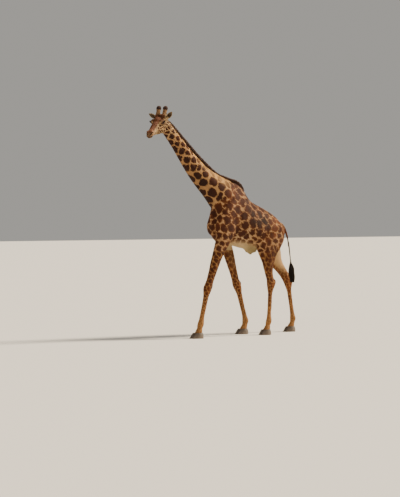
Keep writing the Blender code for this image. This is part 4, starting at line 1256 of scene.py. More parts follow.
def faceTints(where, ground, patch):
    # nose, brow, crown, lids, nostrils and lips; gives the share of the patches that shows and the bare skin
    part, local = where["part"], where["local"]
    folded = np.abs(local) * (1, 0, 0) + local * (0, 1, 1)
    x, y, z = folded.T
    face = isPart(part, "head", *earNames, *hornNames)
    tint(ground, "pale", face * 0.75)
    tint(ground, "olive", face * 0.3)
    bridge = ramp("bridgeX", x) * ramp("bridgeZ", z - 0.09 * (y + 0.3)) * ramp("bridgeY", y)
    muzzle = ramp("muzzleY", y)
    tint(ground, "nose", face * np.maximum(bridge, 0.35 * ramp("tipY", y)))
    tint(patch, "nose", face * bridge)
    tint(ground, "nose", face * 0.6 * muzzle)
    tint(ground, "pink", face * 0.5 * bell(y, -0.5, 0.035) * ramp("pinkZ", z))
    brow = face * bell(np.linalg.norm(folded - (0.105, -0.15, 0.085), axis=1), 0, 0.038)
    crown = face * ramp("crownZ", z) * ramp("crownX", x)
    for name, share in (("pink", brow), ("nose", crown)):
        tint(ground, name, share)
        tint(patch, name, share)
    cheek = np.clip(1 - bridge - muzzle, 0, 1) * ramp("cheekZ", z) * ramp("cheekY", y)
    fade = np.where(face, cheek, 1)
    tint(ground, "pale", face * ramp("chinY", y) * ramp("chinZ", z) * 0.5)
    bare = np.zeros(len(local))
    for side in (1, -1):
        place, _ = eyeFrame(local, side)
        rho = slitShare(place)
        close = face * (np.linalg.norm(place, axis=1) < 0.09)
        bare = np.maximum(bare, close * ramp("rimBare", rho))
        # dark lid skin round each eye, spread wider as a painted shadow round the eye
        tint(ground, "nose", close * ramp("rimDarkSkinAndShade", rho) * 0.92)
        tint(ground, "lip", close * ramp("rimBlackSkinAndShade", rho) * 0.65)
        fade = fade * (1 - close * ramp("rimFade", rho))
    if face.any():
        for path, wide in ((mouthPath, 0.016), (nostrilPath, 0.013)):
            off = pathDistance(folded, snapped(folded[face], path))
            bare = np.maximum(bare, face * smoothStep(wide, 0.5 * wide, off))
    tint(ground, "lip", bare)
    return fade, bare


def tipTints(points, where, ground):
    # ears dark inside at the root, horns dark at the top, and a dark tail
    part, along = where["part"], where["along"]
    ear, horn, tail = isPart(part, *earNames), isPart(part, *hornNames), isPart(part, "tail")
    tint(ground, "ear", ear)
    for side, name in zip((1, -1), earNames):
        root, _, front, across = earAxes(side)
        away = where["local"] - root
        share = away @ across / np.maximum(earWidthAt(np.clip(along, 0, 1)), 0.004)
        hollow = isPart(part, name) * ramp("hollow", away @ front + earCupAt(along, share))
        share = np.abs(share)
        tint(ground, "lip", hollow * ramp("earUp", along) * ramp("earDark", share) * 0.8)
        tint(ground, "pale", hollow * ramp("earPale", share) * 0.6)
    tint(ground, "horn", horn)
    tint(ground, "hornTop", horn * ramp("hornUp", along))
    tint(ground, "tail", tail * ramp("tailZ", points[:, 2]))
    return np.where(ear | horn, 0, 1) * np.where(tail, ramp("tailFade", points[:, 2]), 1)


def markings(points, where, middles):
    # the colours between the patches and on them, how far inside a patch each point lies, and the bare skin
    inside, first, tone = nearestPatches(points, where, middles)
    lot = np.random.default_rng(5).random(len(middles))[first]
    cloud = waves(points, 31, 0.5, 0.15)[:, None]
    ground, patch = (np.tile(shades[name], (len(points), 1)) for name in ("line", "patch"))
    fade = bodyTints(points, where, ground, patch, lot, tone) * legTints(points, where, ground, patch)
    cheeks, bare = faceTints(where, ground, patch)
    fade = fade * cheeks * tipTints(points, where, ground)
    ground = ground * (1 + 0.1 * cloud)
    patch = patch * (1 + 0.16 * cloud) * (0.85 + 0.3 * lot[:, None])
    patch = mixed(ground, patch, fade)
    return {"inside": inside, "ground": np.clip(ground, 0, 1), "patch": np.clip(patch, 0, 1), "bare": bare}


def setMarks(mesh, marked):
    # writes the markings as attributes of the points
    for name, values in marked.items():
        kind, key = ("FLOAT", "value") if values.ndim == 1 else ("FLOAT_VECTOR", "vector")
        layer = mesh.attributes.new(name, kind, "POINT")
        layer.data.foreach_set(key, values.astype(np.float32).ravel())


def link(tree, start, end):  # from one socket to another
    tree.links.new(start, end)


def named(tree, name, output="Fac"):
    # reads an attribute of the points
    made = tree.nodes.new("ShaderNodeAttribute")
    made.attribute_name = name
    return made.outputs[output]


def noised(tree, scale, vector=None):
    # noise at the object's own places, or at a given vector
    made = tree.nodes.new("ShaderNodeTexNoise")
    made.inputs["Scale"].default_value = scale
    made.inputs["Detail"].default_value = 3.0
    link(tree, vector or tree.nodes.new("ShaderNodeTexCoord").outputs["Object"], made.inputs["Vector"])
    return made.outputs["Fac"]


def fed(tree, socket, value):
    # a number, a colour or another socket into a socket
    if isinstance(value, bpy.types.NodeSocket):
        link(tree, value, socket)
    else:
        socket.default_value = value


def counted(tree, kind, *values):
    # one step of arithmetic on sockets or numbers
    made = tree.nodes.new("ShaderNodeMath")
    made.operation = kind
    for socket, value in zip(made.inputs, values):
        fed(tree, socket, value)
    return made.outputs[0]


def spread(tree, value, low, high, first=0.0, last=1.0):
    # from low..high to first..last, clamped
    made = tree.nodes.new("ShaderNodeMapRange")
    link(tree, value, made.inputs["Value"])
    for name, number in zip(("From Min", "From Max", "To Min", "To Max"), (low, high, first, last)):
        made.inputs[name].default_value = number
    return made.outputs[0]


def blended(tree, share, a, b, kind="MIX"):
    # a where the share is 0, b where it is 1, or a kind of mixing of the two
    made = tree.nodes.new("ShaderNodeMix")
    made.data_type = "RGBA"
    made.blend_type = kind
    colors = [socket for socket in made.inputs if socket.type == "RGBA"]
    for socket, value in zip((made.inputs["Factor"], *colors), (share, a, b)):
        fed(tree, socket, value)
    return [socket for socket in made.outputs if socket.type == "RGBA"][0]


def shaded(tree, color, shade):
    # the color times a number
    gray = tree.nodes.new("ShaderNodeCombineColor")
    for socket in gray.inputs:
        link(tree, shade, socket)
    return blended(tree, 1.0, color, gray.outputs[0], "MULTIPLY")


def principled(name, rough, color=(0.5, 0.5, 0.5)):
    # a material, its nodes and its surface
    made = bpy.data.materials.new(name)
    made.use_nodes = True
    surface = made.node_tree.nodes["Principled BSDF"]
    surface.inputs["Roughness"].default_value = rough
    surface.inputs["Base Color"].default_value = (*color, 1)
    return made, made.node_tree, surface


furLook = {
    "border": 0.0035,  # half the width over which a patch's edge fades
    "ragged": 0.01,  # how far single hairs carry a colour over the border
    "raggedScale": 60.0,
    "streaks": 0.16,  # how much single hairs differ
    "hairScale": (420.0, 46.0, 1.0),  # hairs to a metre across the lie and along it
    "bump": 0.0016,  # height of the short hair on the skin
    "rough": 0.72,
    "bareRough": 0.5,
    "gloss": 0.22,
    "lock": (0.88, 1.1),  # brightness of a lock at its root and at its tip
}


def furMaterial(name, onSkin):
    # patch over ground where "inside" is above zero; on the skin the short hair is streaks along the fur map
    made, tree, surface = principled(name, furLook["rough"])
    surface.inputs["Specular IOR Level"].default_value = furLook["gloss"]
    noise = noised(tree, furLook["raggedScale"])
    ragged = counted(tree, "MULTIPLY_ADD", noise, furLook["ragged"], -furLook["ragged"] / 2)
    inside = counted(tree, "ADD", named(tree, "inside"), ragged)
    share = spread(tree, inside, -furLook["border"], furLook["border"])
    color = blended(tree, share, named(tree, "ground", "Color"), named(tree, "patch", "Color"))
    if onSkin:
        flat = tree.nodes.new("ShaderNodeUVMap")
        flat.uv_map = "fur"
        long = tree.nodes.new("ShaderNodeMapping")
        long.inputs["Scale"].default_value = furLook["hairScale"]
        link(tree, flat.outputs["UV"], long.inputs["Vector"])
        hair = noised(tree, 1.0, long.outputs["Vector"])
        bare = named(tree, "bare")
        shade = spread(tree, hair, 0.25, 0.75, 1 - furLook["streaks"], 1 + furLook["streaks"])
        bump = tree.nodes.new("ShaderNodeBump")
        bump.inputs["Distance"].default_value = furLook["bump"]
        hairy = counted(tree, "SUBTRACT", 1.0, bare)
        link(tree, counted(tree, "MULTIPLY", hair, hairy), bump.inputs["Height"])
        link(tree, bump.outputs["Normal"], surface.inputs["Normal"])
        rough = spread(tree, bare, 0.0, 1.0, furLook["rough"], furLook["bareRough"])
        link(tree, rough, surface.inputs["Roughness"])
    else:
        shade = spread(tree, named(tree, "tip"), 0.0, 1.0, *furLook["lock"])
    link(tree, shaded(tree, color, shade), surface.inputs["Base Color"])
    return made


# a lock's patch on its map: half its width, its length, how much narrower its tip is, where its top lies
lockPatch = {"wide": 0.00125, "long": 0.0026, "less": 0.4, "top": 0.15, "border": 0.0005}


def lockObject(name, path, across, rise, wide, thick, square, marked):
    # each lock is a row of triangles (left, right, top) along its path, closed by a point:
    # left and right are path -+ across * wide / 2, top is path + rise * thick
    count, rings = path.shape[0], path.shape[1] - 1
    half = across[:, None] * (wide / 2)[..., None]
    top = rise[:, None] * thick[..., None]
    body = path[:, :rings]
    corners = np.stack([body - half, body + half, body + top], axis=2).reshape(count, rings * 3, 3)
    points = np.concatenate([corners, path[:, rings:]], axis=1)
    edges = ((0, 1), (1, 2), (2, 0))
    faces = [(0, 1, 2)]
    for low in range(0, (rings - 1) * 3, 3):
        for a, b in edges:
            faces += [(low + a, low + 3 + a, low + 3 + b), (low + a, low + 3 + b, low + b)]
    last, size = (rings - 1) * 3, rings * 3 + 1
    faces += [(last + a, rings * 3, last + b) for a, b in edges]
    faces = (np.arange(count)[:, None, None] * size + np.array(faces)[None]).reshape(-1, 3)
    mesh = smoothed(newMesh(name, points.reshape(-1, 3), faces))
    # on the map a lock is a small patch round its root's place: across it to the right, along it upwards
    level = np.append(np.repeat(np.arange(rings), 3), rings) / rings
    right = np.append(np.tile([-1.0, 1.0, lockPatch["top"]], rings), 0)
    right *= lockPatch["wide"] * (1 - lockPatch["less"] * level)
    patch = np.stack([right, (level - 0.5) * lockPatch["long"]], axis=1)
    spot = np.clip(square[:, None] + patch[None], lockPatch["border"], 1 - lockPatch["border"])
    setMap(mesh, "OFBake", spot.reshape(-1, 2)[faces.ravel()])
    marked = {key: np.repeat(value, size, axis=0) for key, value in marked.items()}
    setMarks(mesh, {**marked, "tip": np.tile(level, count)})
    return bpy.data.objects.new(name, mesh)


def oneShade(name, factors):
    # the marks of locks of one shade, each times its own factor
    shade = factors[:, None] * shades[name]
    return {"ground": shade, "patch": shade, "inside": np.full(len(factors), 0.01)}


def scattered(mesh, weight, count, rng):
    # roots spread evenly over the faces by area times weight, and the normals there
    mesh.calc_loop_triangles()
    corners = numbersOf(mesh.loop_triangles, "vertices", 3, np.int32)
    points, facing = positions(mesh), normals(mesh)
    a, b, c = (points[corners[:, k]] for k in range(3))
    area = np.linalg.norm(np.cross(b - a, c - a), axis=1) / 2
    total = np.cumsum(area * weight[corners].mean(axis=1))
    drawn = (np.arange(count) + rng.random(count)) / count * total[-1]
    face = corners[np.minimum(np.searchsorted(total, drawn), len(total) - 1)]
    s, t = np.sqrt(rng.random(count)), rng.random(count)
    share = np.stack([1 - s, s * (1 - t), s * t], axis=1)[..., None]
    return (points[face] * share).sum(axis=1), unit((facing[face] * share).sum(axis=1))


coatPieces = {
    # the parts a piece covers, its locks, their length and width in metres
    "coatHead": (["head"], 19500, 0.0128, 0.0025),
    "coatEars": ([*earNames, *hornNames], 8000, 0.015, 0.003),
    "coatNeck": (["neck"], 19500, 0.0265, 0.0046),
    "coatShoulders": (["trunk"], 19500, 0.029, 0.0051),
    "coatRump": (["trunk"], 19500, 0.029, 0.0051),
    "coatForelegs": (["foreLeft", "foreRight"], 19500, 0.0205, 0.0038),
    "coatHindlegs": (["hindLeft", "hindRight", "tail"], 19500, 0.0215, 0.004),
}
coatSplit = 0.0  # where along Y the trunk's coat is cut in two
coatLay = {
    "low": 0.0008,  # how deep the roots start
    "middle": 0.0012,  # height of a lock's middle over the skin
    "high": 0.002,  # height of its tip
    "thick": 0.0011,
    "stray": 0.16,  # how far locks turn from the lie, in radians
    "swirl": (0.25, 0.3, 0.1),  # how far whole tufts do, and the longest and shortest wave of that
    "long": 0.16,  # how much they differ in length, width, height and brightness
    "wide": 0.12,
    "tip": 0.25,
    "shade": 0.1,
    "bare": (0.35, 0.1),  # no hair on skin as bare as the first, all of it at the second
}


def coat(skin, middles):
    # flat locks that start under the skin and lie along the hair: root + lie * length + normal * height
    points = positions(skin)
    where = placed(points)
    hairy = smoothStep(*coatLay["bare"], markings(points, where, middles)["bare"])
    # locks for each area go with one over their size
    hairy = hairy / np.clip(lockSize(points, where), 0.55, 2) ** 1.5
    made = []
    for order, (name, (covers, count, length, width)) in enumerate(coatPieces.items()):
        rng = np.random.default_rng(100 + order)
        weight = isPart(where["part"], *covers) * hairy
        if covers == ["trunk"]:
            weight = weight * ((points[:, 1] < coatSplit) == (name == "coatShoulders"))
        root, normal = scattered(skin, weight, count, rng)
        at = placed(root)
        marked = markings(root, at, middles)
        size = lockSize(root, at)
        vary = rng.normal(0, 1, (count, 4))
        lie = at["lie"] - normal * (at["lie"] * normal).sum(axis=1)[:, None]
        lie = unit(lie + 1e-4)
        swirl, *wave = coatLay["swirl"]
        turn = (coatLay["stray"] * vary[:, 0] + swirl * waves(root, 41, *wave))[:, None]
        lie = lie * np.cos(turn) + np.cross(lie, normal) * np.sin(turn)
        long = length * size * np.exp(coatLay["long"] * vary[:, 1])
        wide = width * size * np.exp(coatLay["wide"] * vary[:, 2])
        scale = np.clip(size, 0.3, 1.3)
        high = coatLay["high"] * scale * np.exp(coatLay["tip"] * vary[:, 3])
        path = np.stack([
            root - normal * coatLay["low"],
            root + lie * (0.5 * long)[:, None] + normal * (coatLay["middle"] * scale)[:, None],
            root + lie * long[:, None] + normal * high[:, None],
        ], axis=1)
        wide = wide[:, None] * np.array([[0.85, 1.0]])
        thick = (coatLay["thick"] * scale)[:, None] * np.array([[0.7, 1.0]])
        shade = np.exp(coatLay["shade"] * rng.normal(0, 1, count))[:, None]
        for key in ("ground", "patch"):
            marked[key] = np.clip(marked[key] * shade, 0, 1)
        square = squareOf(covers, root, at)
        made.append(lockObject(name, path, np.cross(lie, normal), normal, wide, thick, square, marked))
        print("coat:", name, len(made[-1].data.polygons))
    return made


def lockSize(points, where):
    # how long the hair is against the piece's usual length: short on the face and towards the feet
    part, z = where["part"], points[:, 2]
    _, hy, hz = where["local"].T
    leg, face, trunk = isPart(part, *legNames), isPart(part, "head"), isPart(part, "trunk")
    size = np.where(leg, 0.5 + 0.75 * smoothStep(0.25, 1.7, z), 1)
    # longer behind the pasterns and round the coronet
    back = np.abs(where["turn"]) > 2.2
    size = np.where(leg & back, size * (1 + 0.6 * bell(z, 0.26, 0.05)), size)
    size = np.where(leg, size * (1 + 0.7 * smoothStep(0.135, 0.115, z)), size)
    size = np.where(face, 0.5 + 0.55 * smoothStep(-0.52, -0.3, hy), size)
    size = np.where(face & (hz > 0.06), size * 1.15, size)
    size = np.where(isPart(part, *hornNames), 0.9 + 0.6 * smoothStep(0.65, 0.95, where["along"]), size)
    size = np.where(isPart(part, *earNames), 0.75, size)
    return np.where(trunk & (np.abs(points[:, 0]) < 0.12) & (z < 1.86), 1.2, size)


def squareOf(covers, points, where):
    # the parts' boxes one over the other on the piece's own map
    out = np.zeros((len(points), 2))
    for row, name in enumerate(covers):
        mine = isPart(where["part"], name)
        along, turn = inPart(points[mine], name)
        first, last = charts[name][4:]
        out[mine, 0] = 0.003 + 0.994 * (along - first) / (last - first)
        out[mine, 1] = (row + 0.01 + 0.98 * (turn / fullTurn + 0.5)) / len(covers)
    return np.clip(out, 0.003, 0.997)


# x, y, z along the middle of the crest, and how much of its height the mane has there
maneRidge = np.array([
    (0.0, -0.085, 2.945, 0.8), (0.0, -0.16, 3.04, 1.0), (0.0, -0.25, 3.095, 1.0),
    (0.0, -0.365, 3.125, 0.98), (0.0, -0.545, 3.178, 0.98), (0.001, -0.73, 3.245, 1.0),
    (0.006, -0.93, 3.382, 1.0), (0.018, -1.16, 3.562, 1.0), (0.036, -1.39, 3.758, 1.0),
    (0.06, -1.63, 3.972, 1.0), (0.084, -1.825, 4.146, 0.96), (0.104, -1.965, 4.268, 0.8),
    (0.116, -2.025, 4.325, 0.48),
])
maneLook = {
    "locks": 9500,
    "wide": 0.0085,
    "thick": 0.0024,
    "high": 0.078,
    "root": 0.01,  # how deep the locks start
    "lean": 0.3,
    "halfWidth": 0.013,
    "levels": (0.0, 0.45, 0.8, 1.0),  # where the rings lie along a lock
    "taper": (1.0, 0.95, 0.6),  # how wide they are
}


def mane():
    # upright locks along the ridge, rooted below it and leaning back
    rng = np.random.default_rng(7)
    count, deep = maneLook["locks"], maneLook["root"]
    fine = smoothRows(maneRidge, 16)
    far = farAlong(fine[:, :3])
    place = (np.arange(count) + rng.random(count)) / count * far[-1]
    line = sampled(place, far, fine)
    ahead = unit(sampled(place, far, np.gradient(fine[:, :3], far, axis=0)))
    side = unit(np.cross(ahead, (0, 0, 1.0)))
    up = unit(np.cross(side, ahead))
    across = np.clip(rng.normal(0, 0.55, count), -1, 1)
    vary = rng.normal(0, 1, (count, 4))
    high = maneLook["high"] * line[:, 3] * (1 - 0.22 * across ** 2) * np.exp(0.07 * vary[:, 0])
    high = np.minimum(high * (1 + 0.08 * waves(line[:, :3], 61, 0.08, 0.03)), maneLook["high"] * 1.06)
    root = line[:, :3] + side * (across * maneLook["halfWidth"])[:, None] - up * deep
    lean = maneLook["lean"] + 0.12 * vary[:, 1]
    sway = across * 0.12 + 0.1 * vary[:, 2]
    levels = np.array(maneLook["levels"])
    reach = (high + deep)[:, None] * levels
    path = root[:, None] + up[:, None] * reach[..., None]
    path = path - ahead[:, None] * (reach * lean[:, None] * levels)[..., None]
    path = path + side[:, None] * (reach * sway[:, None])[..., None]
    # flat locks, seen widest from the side
    spin = 0.6 * vary[:, 3][:, None]
    flat = ahead * np.cos(spin) + side * np.sin(spin)
    rise = unit(np.cross(flat, up))
    wide = maneLook["wide"] * np.exp(0.15 * vary[:, 0])[:, None] * np.array([maneLook["taper"]])
    thick = np.full(wide.shape, maneLook["thick"])
    marked = oneShade("mane", np.exp(0.16 * rng.normal(0, 1, count)))
    square = np.stack([0.01 + 0.98 * place / far[-1], 0.5 + 0.45 * across], axis=1)
    print("mane:", count)
    return lockObject("maneHair", path, flat, rise, wide, thick, square, marked)


# x, y, z and radius of the switch
tasselPath = np.array([
    (0.0, 1.187, 1.52, 0.014), (0.0, 1.192, 1.46, 0.022), (0.0, 1.198, 1.41, 0.044),
    (0.0, 1.205, 1.34, 0.064), (0.0, 1.214, 1.24, 0.071), (0.0, 1.224, 1.14, 0.065),
    (0.0, 1.232, 1.04, 0.042),
])
tasselLook = {
    "locks": 1900,
    "rings": 8,
    "wide": 0.0075,
    "taper": (0.9, 0.35),  # at the root and at the tip
    "thick": 0.0022,
    "wave": (0.004, 14, 3),  # height, waves along a lock and waves round the switch
    "starts": (1.6, 0.45),  # most locks start high: share of the switch is 0.45 * chance^1.6
    "long": (0.35, 0.5),  # a lock's least length, and how much longer it can be
}


def tassel():
    # locks that start round the tail's end and hang along the switch's outline to different depths
    rng = np.random.default_rng(8)
    count, rings = tasselLook["locks"], tasselLook["rings"]
    fine = smoothRows(tasselPath, 12)
    turn, out = rng.random(count) * fullTurn, np.sqrt(rng.random(count))
    power, most = tasselLook["starts"]
    least, more = tasselLook["long"]
    start = rng.random(count) ** power * most
    end = np.clip(start + least + more * rng.random(count), 0, 1.0)
    levels = np.linspace(0, 1, rings + 1)
    share = start[:, None] + (end - start)[:, None] * levels
    line = sampled(share, np.linspace(0, 1, len(fine)), fine)
    height, along, about = tasselLook["wave"]
    wave = height * np.sin(share * along + turn[:, None] * about)
    radius = line[..., 3] * (0.25 + 0.75 * out[:, None]) * np.linspace(0.6, 1.0, rings + 1) + wave * levels
    none = np.zeros(count)
    away = np.stack([np.sin(turn), np.cos(turn), none], axis=1)
    across = np.stack([np.cos(turn), -np.sin(turn), none], axis=1)
    path = line[..., :3] + away[:, None] * radius[..., None] * (0.85, 1, 1)
    taper = np.linspace(*tasselLook["taper"], rings)
    wide = tasselLook["wide"] * np.exp(0.2 * rng.normal(0, 1, count))[:, None] * taper
    thick = np.full(wide.shape, tasselLook["thick"])
    marked = oneShade("black", np.exp(0.25 * rng.normal(0, 1, count)))
    square = np.stack([0.02 + 0.96 * turn / fullTurn, 0.02 + 0.96 * out], axis=1)
    print("tassel:", count)
    return lockObject("tailTassel", path, across, away, wide, thick, square, marked)


eyeLook = {
    "around": 64,
    "rings": 44,
    "size": 0.985,  # a little inside the solid
    "bulge": (0.07, 0.42),  # the cornea stands out by this share of the radius, over this angle
    "pupil": (0.36, 0.2),  # half its width and its height, as shares of the radius
    "irisColor": (0.034, 0.013, 0.005),
    "pupilColor": (0.002, 0.0015, 0.001),
    "whiteColor": (0.1, 0.055, 0.035),
}


def eyeball(side, name):
    # a ball whose pole is the gaze, raised by a bell of the angle from the pole
    radius = head["eyeRadius"]
    polar = np.linspace(0, math.pi, eyeLook["rings"])[:, None]
    turn = np.linspace(0, fullTurn, eyeLook["around"], endpoint=False)[None]
    bulge, wide = eyeLook["bulge"]
    r = radius * (1 + bulge * bell(polar, 0, wide)) * eyeLook["size"]
    out = r * np.sin(polar)
    rings = np.stack([out * np.cos(turn), out * np.sin(turn), r * np.cos(polar) + 0 * turn], -1)
    local, faces = loft(rings[1:-1])
    local[-2:] = rings[0, 0], rings[-1, 0]
    axes = eyeFrame(np.zeros((1, 3)), side)[1] @ headTurn.T
    mesh = closedMesh(name, onHead([headSpot("eye", side)])[0] + local @ axes, faces)
    # seen down the gaze: the pupil is a rounded bar, the iris a disc, the white a thin ring past it
    x, y, z = (local / radius).T
    off = np.hypot(x, y) + (z < 0)
    iris = np.array(eyeLook["irisColor"]) * (0.6 + 0.8 * smoothStep(0.2, 0.5, off))[:, None]
    color = mixed(iris, eyeLook["whiteColor"], smoothStep(0.72, 0.84, off))
    bar = np.hypot(x / eyeLook["pupil"][0], y / eyeLook["pupil"][1])
    color = mixed(color, eyeLook["pupilColor"], smoothStep(1.0, 0.86, bar) * (z > 0))
    setMarks(mesh, {"ground": color})
    # on the map the pole is in the middle
    angle = np.arctan2(y, x)
    far = 0.49 * np.arccos(np.clip(z / np.linalg.norm([x, y, z], axis=0), -1, 1)) / math.pi
    spot = 0.5 + np.stack([far * np.cos(angle), far * np.sin(angle)], axis=1)
    setMap(mesh, "OFBake", spot[facesOf(mesh)[2]])
    return bpy.data.objects.new(name, mesh)


lashLook = {
    "each": 170,  # on an eye
    "rings": 3,
    "long": (0.02, 0.03),
    "wide": 0.0011,
    "along": (0.1, 0.92),  # from the back corner of the lid to the front one
    "drop": (0.55, 0.35),  # they fall by 0.55 t - 0.35 t^2 of their length
    "root": 0.0015,  # how far over the eyeball they start
}


def lashes():
    # a fringe along the upper rim of each eye's lids, curving out and down
    rng = np.random.default_rng(9)
    each, rings = lashLook["each"], lashLook["rings"]
    levels = np.linspace(0, 1, rings + 1)
    sides = []
    for side in (1, -1):
        turn = rng.uniform(*lashLook["along"], each) * math.pi
        rim = np.stack([
            -np.cos(turn) * eyeLids["long"] * 1.02,
            np.sin(turn) ** 0.9 * eyeLids["above"] * 1.04,
        ], axis=1)
        ball = head["eyeRadius"] / head["size"] + lashLook["root"]
        deep = np.sqrt(np.maximum(ball ** 2 - (rim ** 2).sum(axis=1), 0))
        long = rng.uniform(*lashLook["long"], each) * (0.75 + 0.35 * np.sin(turn))
        outward = np.column_stack([0.5 * rim[:, 0] / eyeLids["long"], np.full(each, 0.25), np.ones(each)])
        outward = unit(outward + rng.normal(0, 0.07, (each, 3)))
        reach = long[:, None] * levels
        path = np.column_stack([rim, deep])[:, None] + outward[:, None] * reach[..., None]
        first, second = lashLook["drop"]
        path[..., 1] -= long[:, None] * (first * levels - second * levels ** 2)
        across = unit(np.cross(outward, (0, 1.0, 0)))
        axes = eyeFrame(np.zeros((1, 3)), side)[1]
        sides.append((
            onHead((path @ axes).reshape(-1, 3) + headSpot("eye", side)).reshape(path.shape),
            across @ axes @ headTurn.T,
            unit(np.cross(across, outward)) @ axes @ headTurn.T,
            np.stack([turn / math.pi * 0.9 + 0.05, np.full(each, 0.5 + 0.25 * side)], axis=1),
        ))
    path, across, rise, square = (np.concatenate(both) for both in zip(*sides))
    wide = np.tile(lashLook["wide"] * np.linspace(1, 0.5, rings), (2 * each, 1))
    marked = oneShade("black", np.ones(2 * each))
    return lockObject("lashes", path, across, rise, wide, wide * 0.8, square, marked)


# each hoof's node, the middle's x and y, and its size
hoofPlaces = {
    "hoofForeLeft": ("hoof_fore_left", 0.23, -1.345, 1.0),
    "hoofForeRight": ("hoof_fore_right", -0.23, 0.11, 1.0),
    "hoofHindLeft": ("hoof_hind_left", 0.225, 0.365, 0.94),
    "hoofHindRight": ("hoof_hind_right", -0.225, 1.35, 0.94),
}
hoofLook = {
    "around": 72,
    "levels": 40,
    "long": 0.27,
    "wide": 0.112,
    "apart": 0.47,  # of a claw's middle from the hoof's, in widths
    "rings": 0.0009,  # height of the growth rings
    "every": 0.0125,
    "taper": 0.3,  # how much narrower the toe is
    "bend": 0.1,  # how far it bends in
    "sole": 0.006,  # height of the sole's rounded edge
    "horn": (0.07, 0.048, 0.032),
    "light": (0.17, 0.125, 0.085),
}
# from the coronet to the sole: z, back, front and half width of a claw, in shares of its length and width
clawRows = np.array([
    (coronet - 0.001, 0.32, 0.33, 0.385), (0.095, 0.33, 0.35, 0.4), (0.075, 0.36, 0.42, 0.44),
    (0.03, 0.385, 0.54, 0.49), (0.006, 0.375, 0.6, 0.5), (0.0, 0.36, 0.585, 0.485),
])


def claw(side, length, width):
    # level rings from the coronet down to a flat sole, each a half circle behind and a longer taper in front
    rows, sole = clawRows[::-1], hoofLook["sole"]
    z = np.concatenate([np.linspace(0, sole, 4), np.linspace(0.01, rows[-1, 0], hoofLook["levels"] - 4)])
    back, front, half = (column[:, None] for column in sampled(z, rows[:, 0], rows[:, 1:]).T)
    turn = np.linspace(0, fullTurn, hoofLook["around"], endpoint=False)[None]
    s, c = np.sin(turn), np.cos(turn)
    toe = np.clip(c, 0, 1)
    ripple = hoofLook["rings"] * ((np.cos(fullTurn * z / hoofLook["every"]) - 1) * (z > sole))[:, None]
    x = half * width * s * (1 - hoofLook["taper"] * toe ** 2) + ripple * s
    x += side * width * (hoofLook["apart"] - hoofLook["bend"] * half * toe)
    y = -np.where(c > 0, front * c, back * c) * length - ripple * c
    return loft(np.stack([x, y, z[:, None] + 0 * x], axis=-1))


def hooves():
    # two claws each, on a map with the walls below and the soles and tops above them
    for name, (node, x, y, size) in hoofPlaces.items():
        length, width = hoofLook["long"] * size, hoofLook["wide"] * size
        one, faces = claw(1, length, width)
        other, more = claw(-1, length, width)
        faces = faces + [[len(one) + k for k in face] for face in more]
        mesh = closedMesh(name, np.vstack([one, other]) + (x, y, 0), faces)
        points = positions(mesh)
        pale = smoothStep(0.1, 0.02, points[:, 2]) * (0.35 + 0.3 * waves(points, 71, 0.03, 0.008))
        setMarks(mesh, {"ground": np.clip(mixed(hoofLook["horn"], hoofLook["light"], pale), 0, 1)})
        _, sizes, corners = facesOf(mesh)
        owner = np.repeat(np.arange(len(sizes)), sizes)
        second = np.repeat((0, 1), len(one))
        away = points - (x, y, 0)
        away[:, 0] -= (1 - 2 * second) * hoofLook["apart"] * width
        second, away = second[corners], away[corners]
        turn = unbroken(np.arctan2(away[:, 0], away[:, 1]), owner, len(sizes))
        spot = np.stack([
            0.01 + 0.5 * second + 0.44 * (turn / fullTurn + 0.5),
            0.01 + 0.8 * away[:, 2] / coronet,
        ], axis=1)
        level = np.abs(numbersOf(mesh.polygons, "normal", 3)[owner, 2]) > 0.9
        shift = np.where(away[:, 2] < coronet / 2, 0.0, 0.24)
        spot[level, 0] = (0.13 + 0.5 * second + shift + away[:, 0] * 0.9)[level]
        spot[level, 1] = (0.91 + away[:, 1] * 0.4)[level]
        setMap(mesh, "OFBake", np.clip(spot, 0, 1))
        yield bpy.data.objects.new(name, mesh), node


def shown(made, material, slot, *nodes):
    # puts a finished object in the scene in place of its nodes, moved to the frame of the solids
    setPositions(made.data, positions(made.data) + standAt)
    made.data.materials.append(material)
    bpy.context.scene.collection.objects.link(made)
    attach(made, "root")
    if nodes:
        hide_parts(*nodes)


skinMesh = smoothed(skinShape())
mapped(skinMesh)
skinPoints = positions(skinMesh)
skinPlaces = placed(skinPoints)
middles = patchMiddles(skinPoints, skinPlaces)
setMarks(skinMesh, markings(skinPoints, skinPlaces, middles))
print("skin: marked,", len(middles), "patches")
skinFur, lockFur = furMaterial("skinFur", True), furMaterial("lockFur", False)
coatObjects = coat(skinMesh, middles)
shown(bpy.data.objects.new("skin", skinMesh), skinFur, "coat",
      "head", "neck", "trunk", "foreleg_left", "foreleg_right", "fore_cannon_left", "fore_cannon_right",
      "hind_leg_left", "hind_leg_right", "hind_cannon_left", "hind_cannon_right", "ear_left", "ear_right",
      "ossicone_left", "ossicone_right", "tail")
for made in coatObjects:
    shown(made, lockFur, "coat")
shown(mane(), lockFur, "mane_hair", "mane")
shown(tassel(), lockFur, "dark_hair", "tail_tuft")
shown(lashes(), lockFur, "dark_hair")

eyeMaterial, tree, surface = principled("eyeball", 0.06)
link(tree, named(tree, "ground", "Color"), surface.inputs["Base Color"])
surface.inputs["Specular IOR Level"].default_value = 0.16
surface.inputs["Coat Weight"].default_value = 0.15
surface.inputs["Coat Roughness"].default_value = 0.02
shown(eyeball(1, "eyeLeft"), eyeMaterial, "eye", "eye_left")
shown(eyeball(-1, "eyeRight"), eyeMaterial, "eye", "eye_right")

hoofMaterial, tree, surface = principled("hoofHorn", 0.5)
shade = spread(tree, noised(tree, 90.0), 0.3, 0.7, 0.82, 1.18)
link(tree, shaded(tree, named(tree, "ground", "Color"), shade), surface.inputs["Base Color"])
for made, node in hooves():
    shown(made, hoofMaterial, "hoof", node)
print("eyes and hooves done")

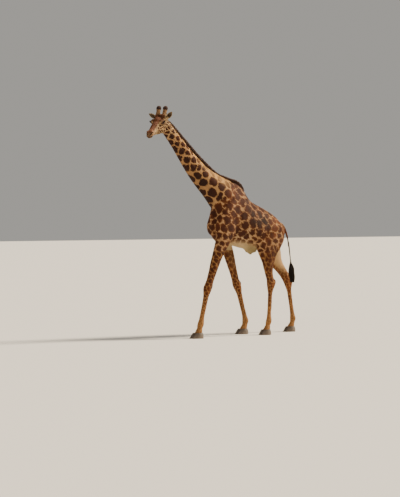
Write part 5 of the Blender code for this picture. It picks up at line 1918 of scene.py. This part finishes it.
view = {
    "turn": 55.0,  # degrees round the animal from straight in front, towards its left
    "far": 35.0,
    "high": 2.6,
    "aside": 0.9225,
    "down": 1.353,
    "lens": 123.67,
}
turn, down = math.radians(view["turn"]), math.radians(view["down"])
outward, across = Vector((math.sin(turn), -math.cos(turn), 0)), Vector((math.cos(turn), math.sin(turn), 0))
camera = bpy.data.objects.new("camera", bpy.data.cameras.new("camera"))
camera.data.lens = view["lens"]
camera.data.clip_end = 300
camera.location = Vector(standAt) + Vector((0, 0, view["high"]))
camera.location += outward * view["far"] - across * view["aside"]
look = -outward * math.cos(down) - Vector((0, 0, math.sin(down)))
camera.rotation_mode = "QUATERNION"
camera.rotation_quaternion = look.to_track_quat("-Z", "Y")
bpy.context.scene.collection.objects.link(camera)
bpy.context.scene.camera = camera

half = 90.0  # half the floor's width
corners = [(-half, -half, 0), (half, -half, 0), (half, half, 0), (-half, half, 0)]
floorMesh = newMesh("floor", corners, [(0, 1, 2, 3)])
floorMesh.materials.append(principled("floor", 0.9, (0.62, 0.6, 0.57))[0])
floor = bpy.data.objects.new("floor", floorMesh)
bpy.context.scene.collection.objects.link(floor)

light = {
    "sky": (0.88, 0.85, 0.79),
    "skyPower": 0.43,
    "suns": [
        # the way it shines, power, softness in radians, colour
        ((-0.19, -0.72, -0.67), 9.8, 0.2, (1.0, 0.86, 0.66)),
        ((-0.65, 0.75, -0.4), 0.7, 0.6, (1.0, 0.96, 0.9)),
    ],
}
world = bpy.data.worlds.new("studio")
bpy.context.scene.world = world
world.use_nodes = True
sky = world.node_tree.nodes["Background"]
sky.inputs["Color"].default_value = (*light["sky"], 1)
sky.inputs["Strength"].default_value = light["skyPower"]
for number, (toward, power, soft, color) in enumerate(light["suns"]):
    lamp = bpy.data.lights.new("sun" + str(number), "SUN")
    lamp.energy, lamp.angle, lamp.color = power, soft, color
    sun = bpy.data.objects.new(lamp.name, lamp)
    sun.rotation_mode = "QUATERNION"
    sun.rotation_quaternion = Vector(toward).to_track_quat("-Z", "Y")
    bpy.context.scene.collection.objects.link(sun)

print("scene: done")
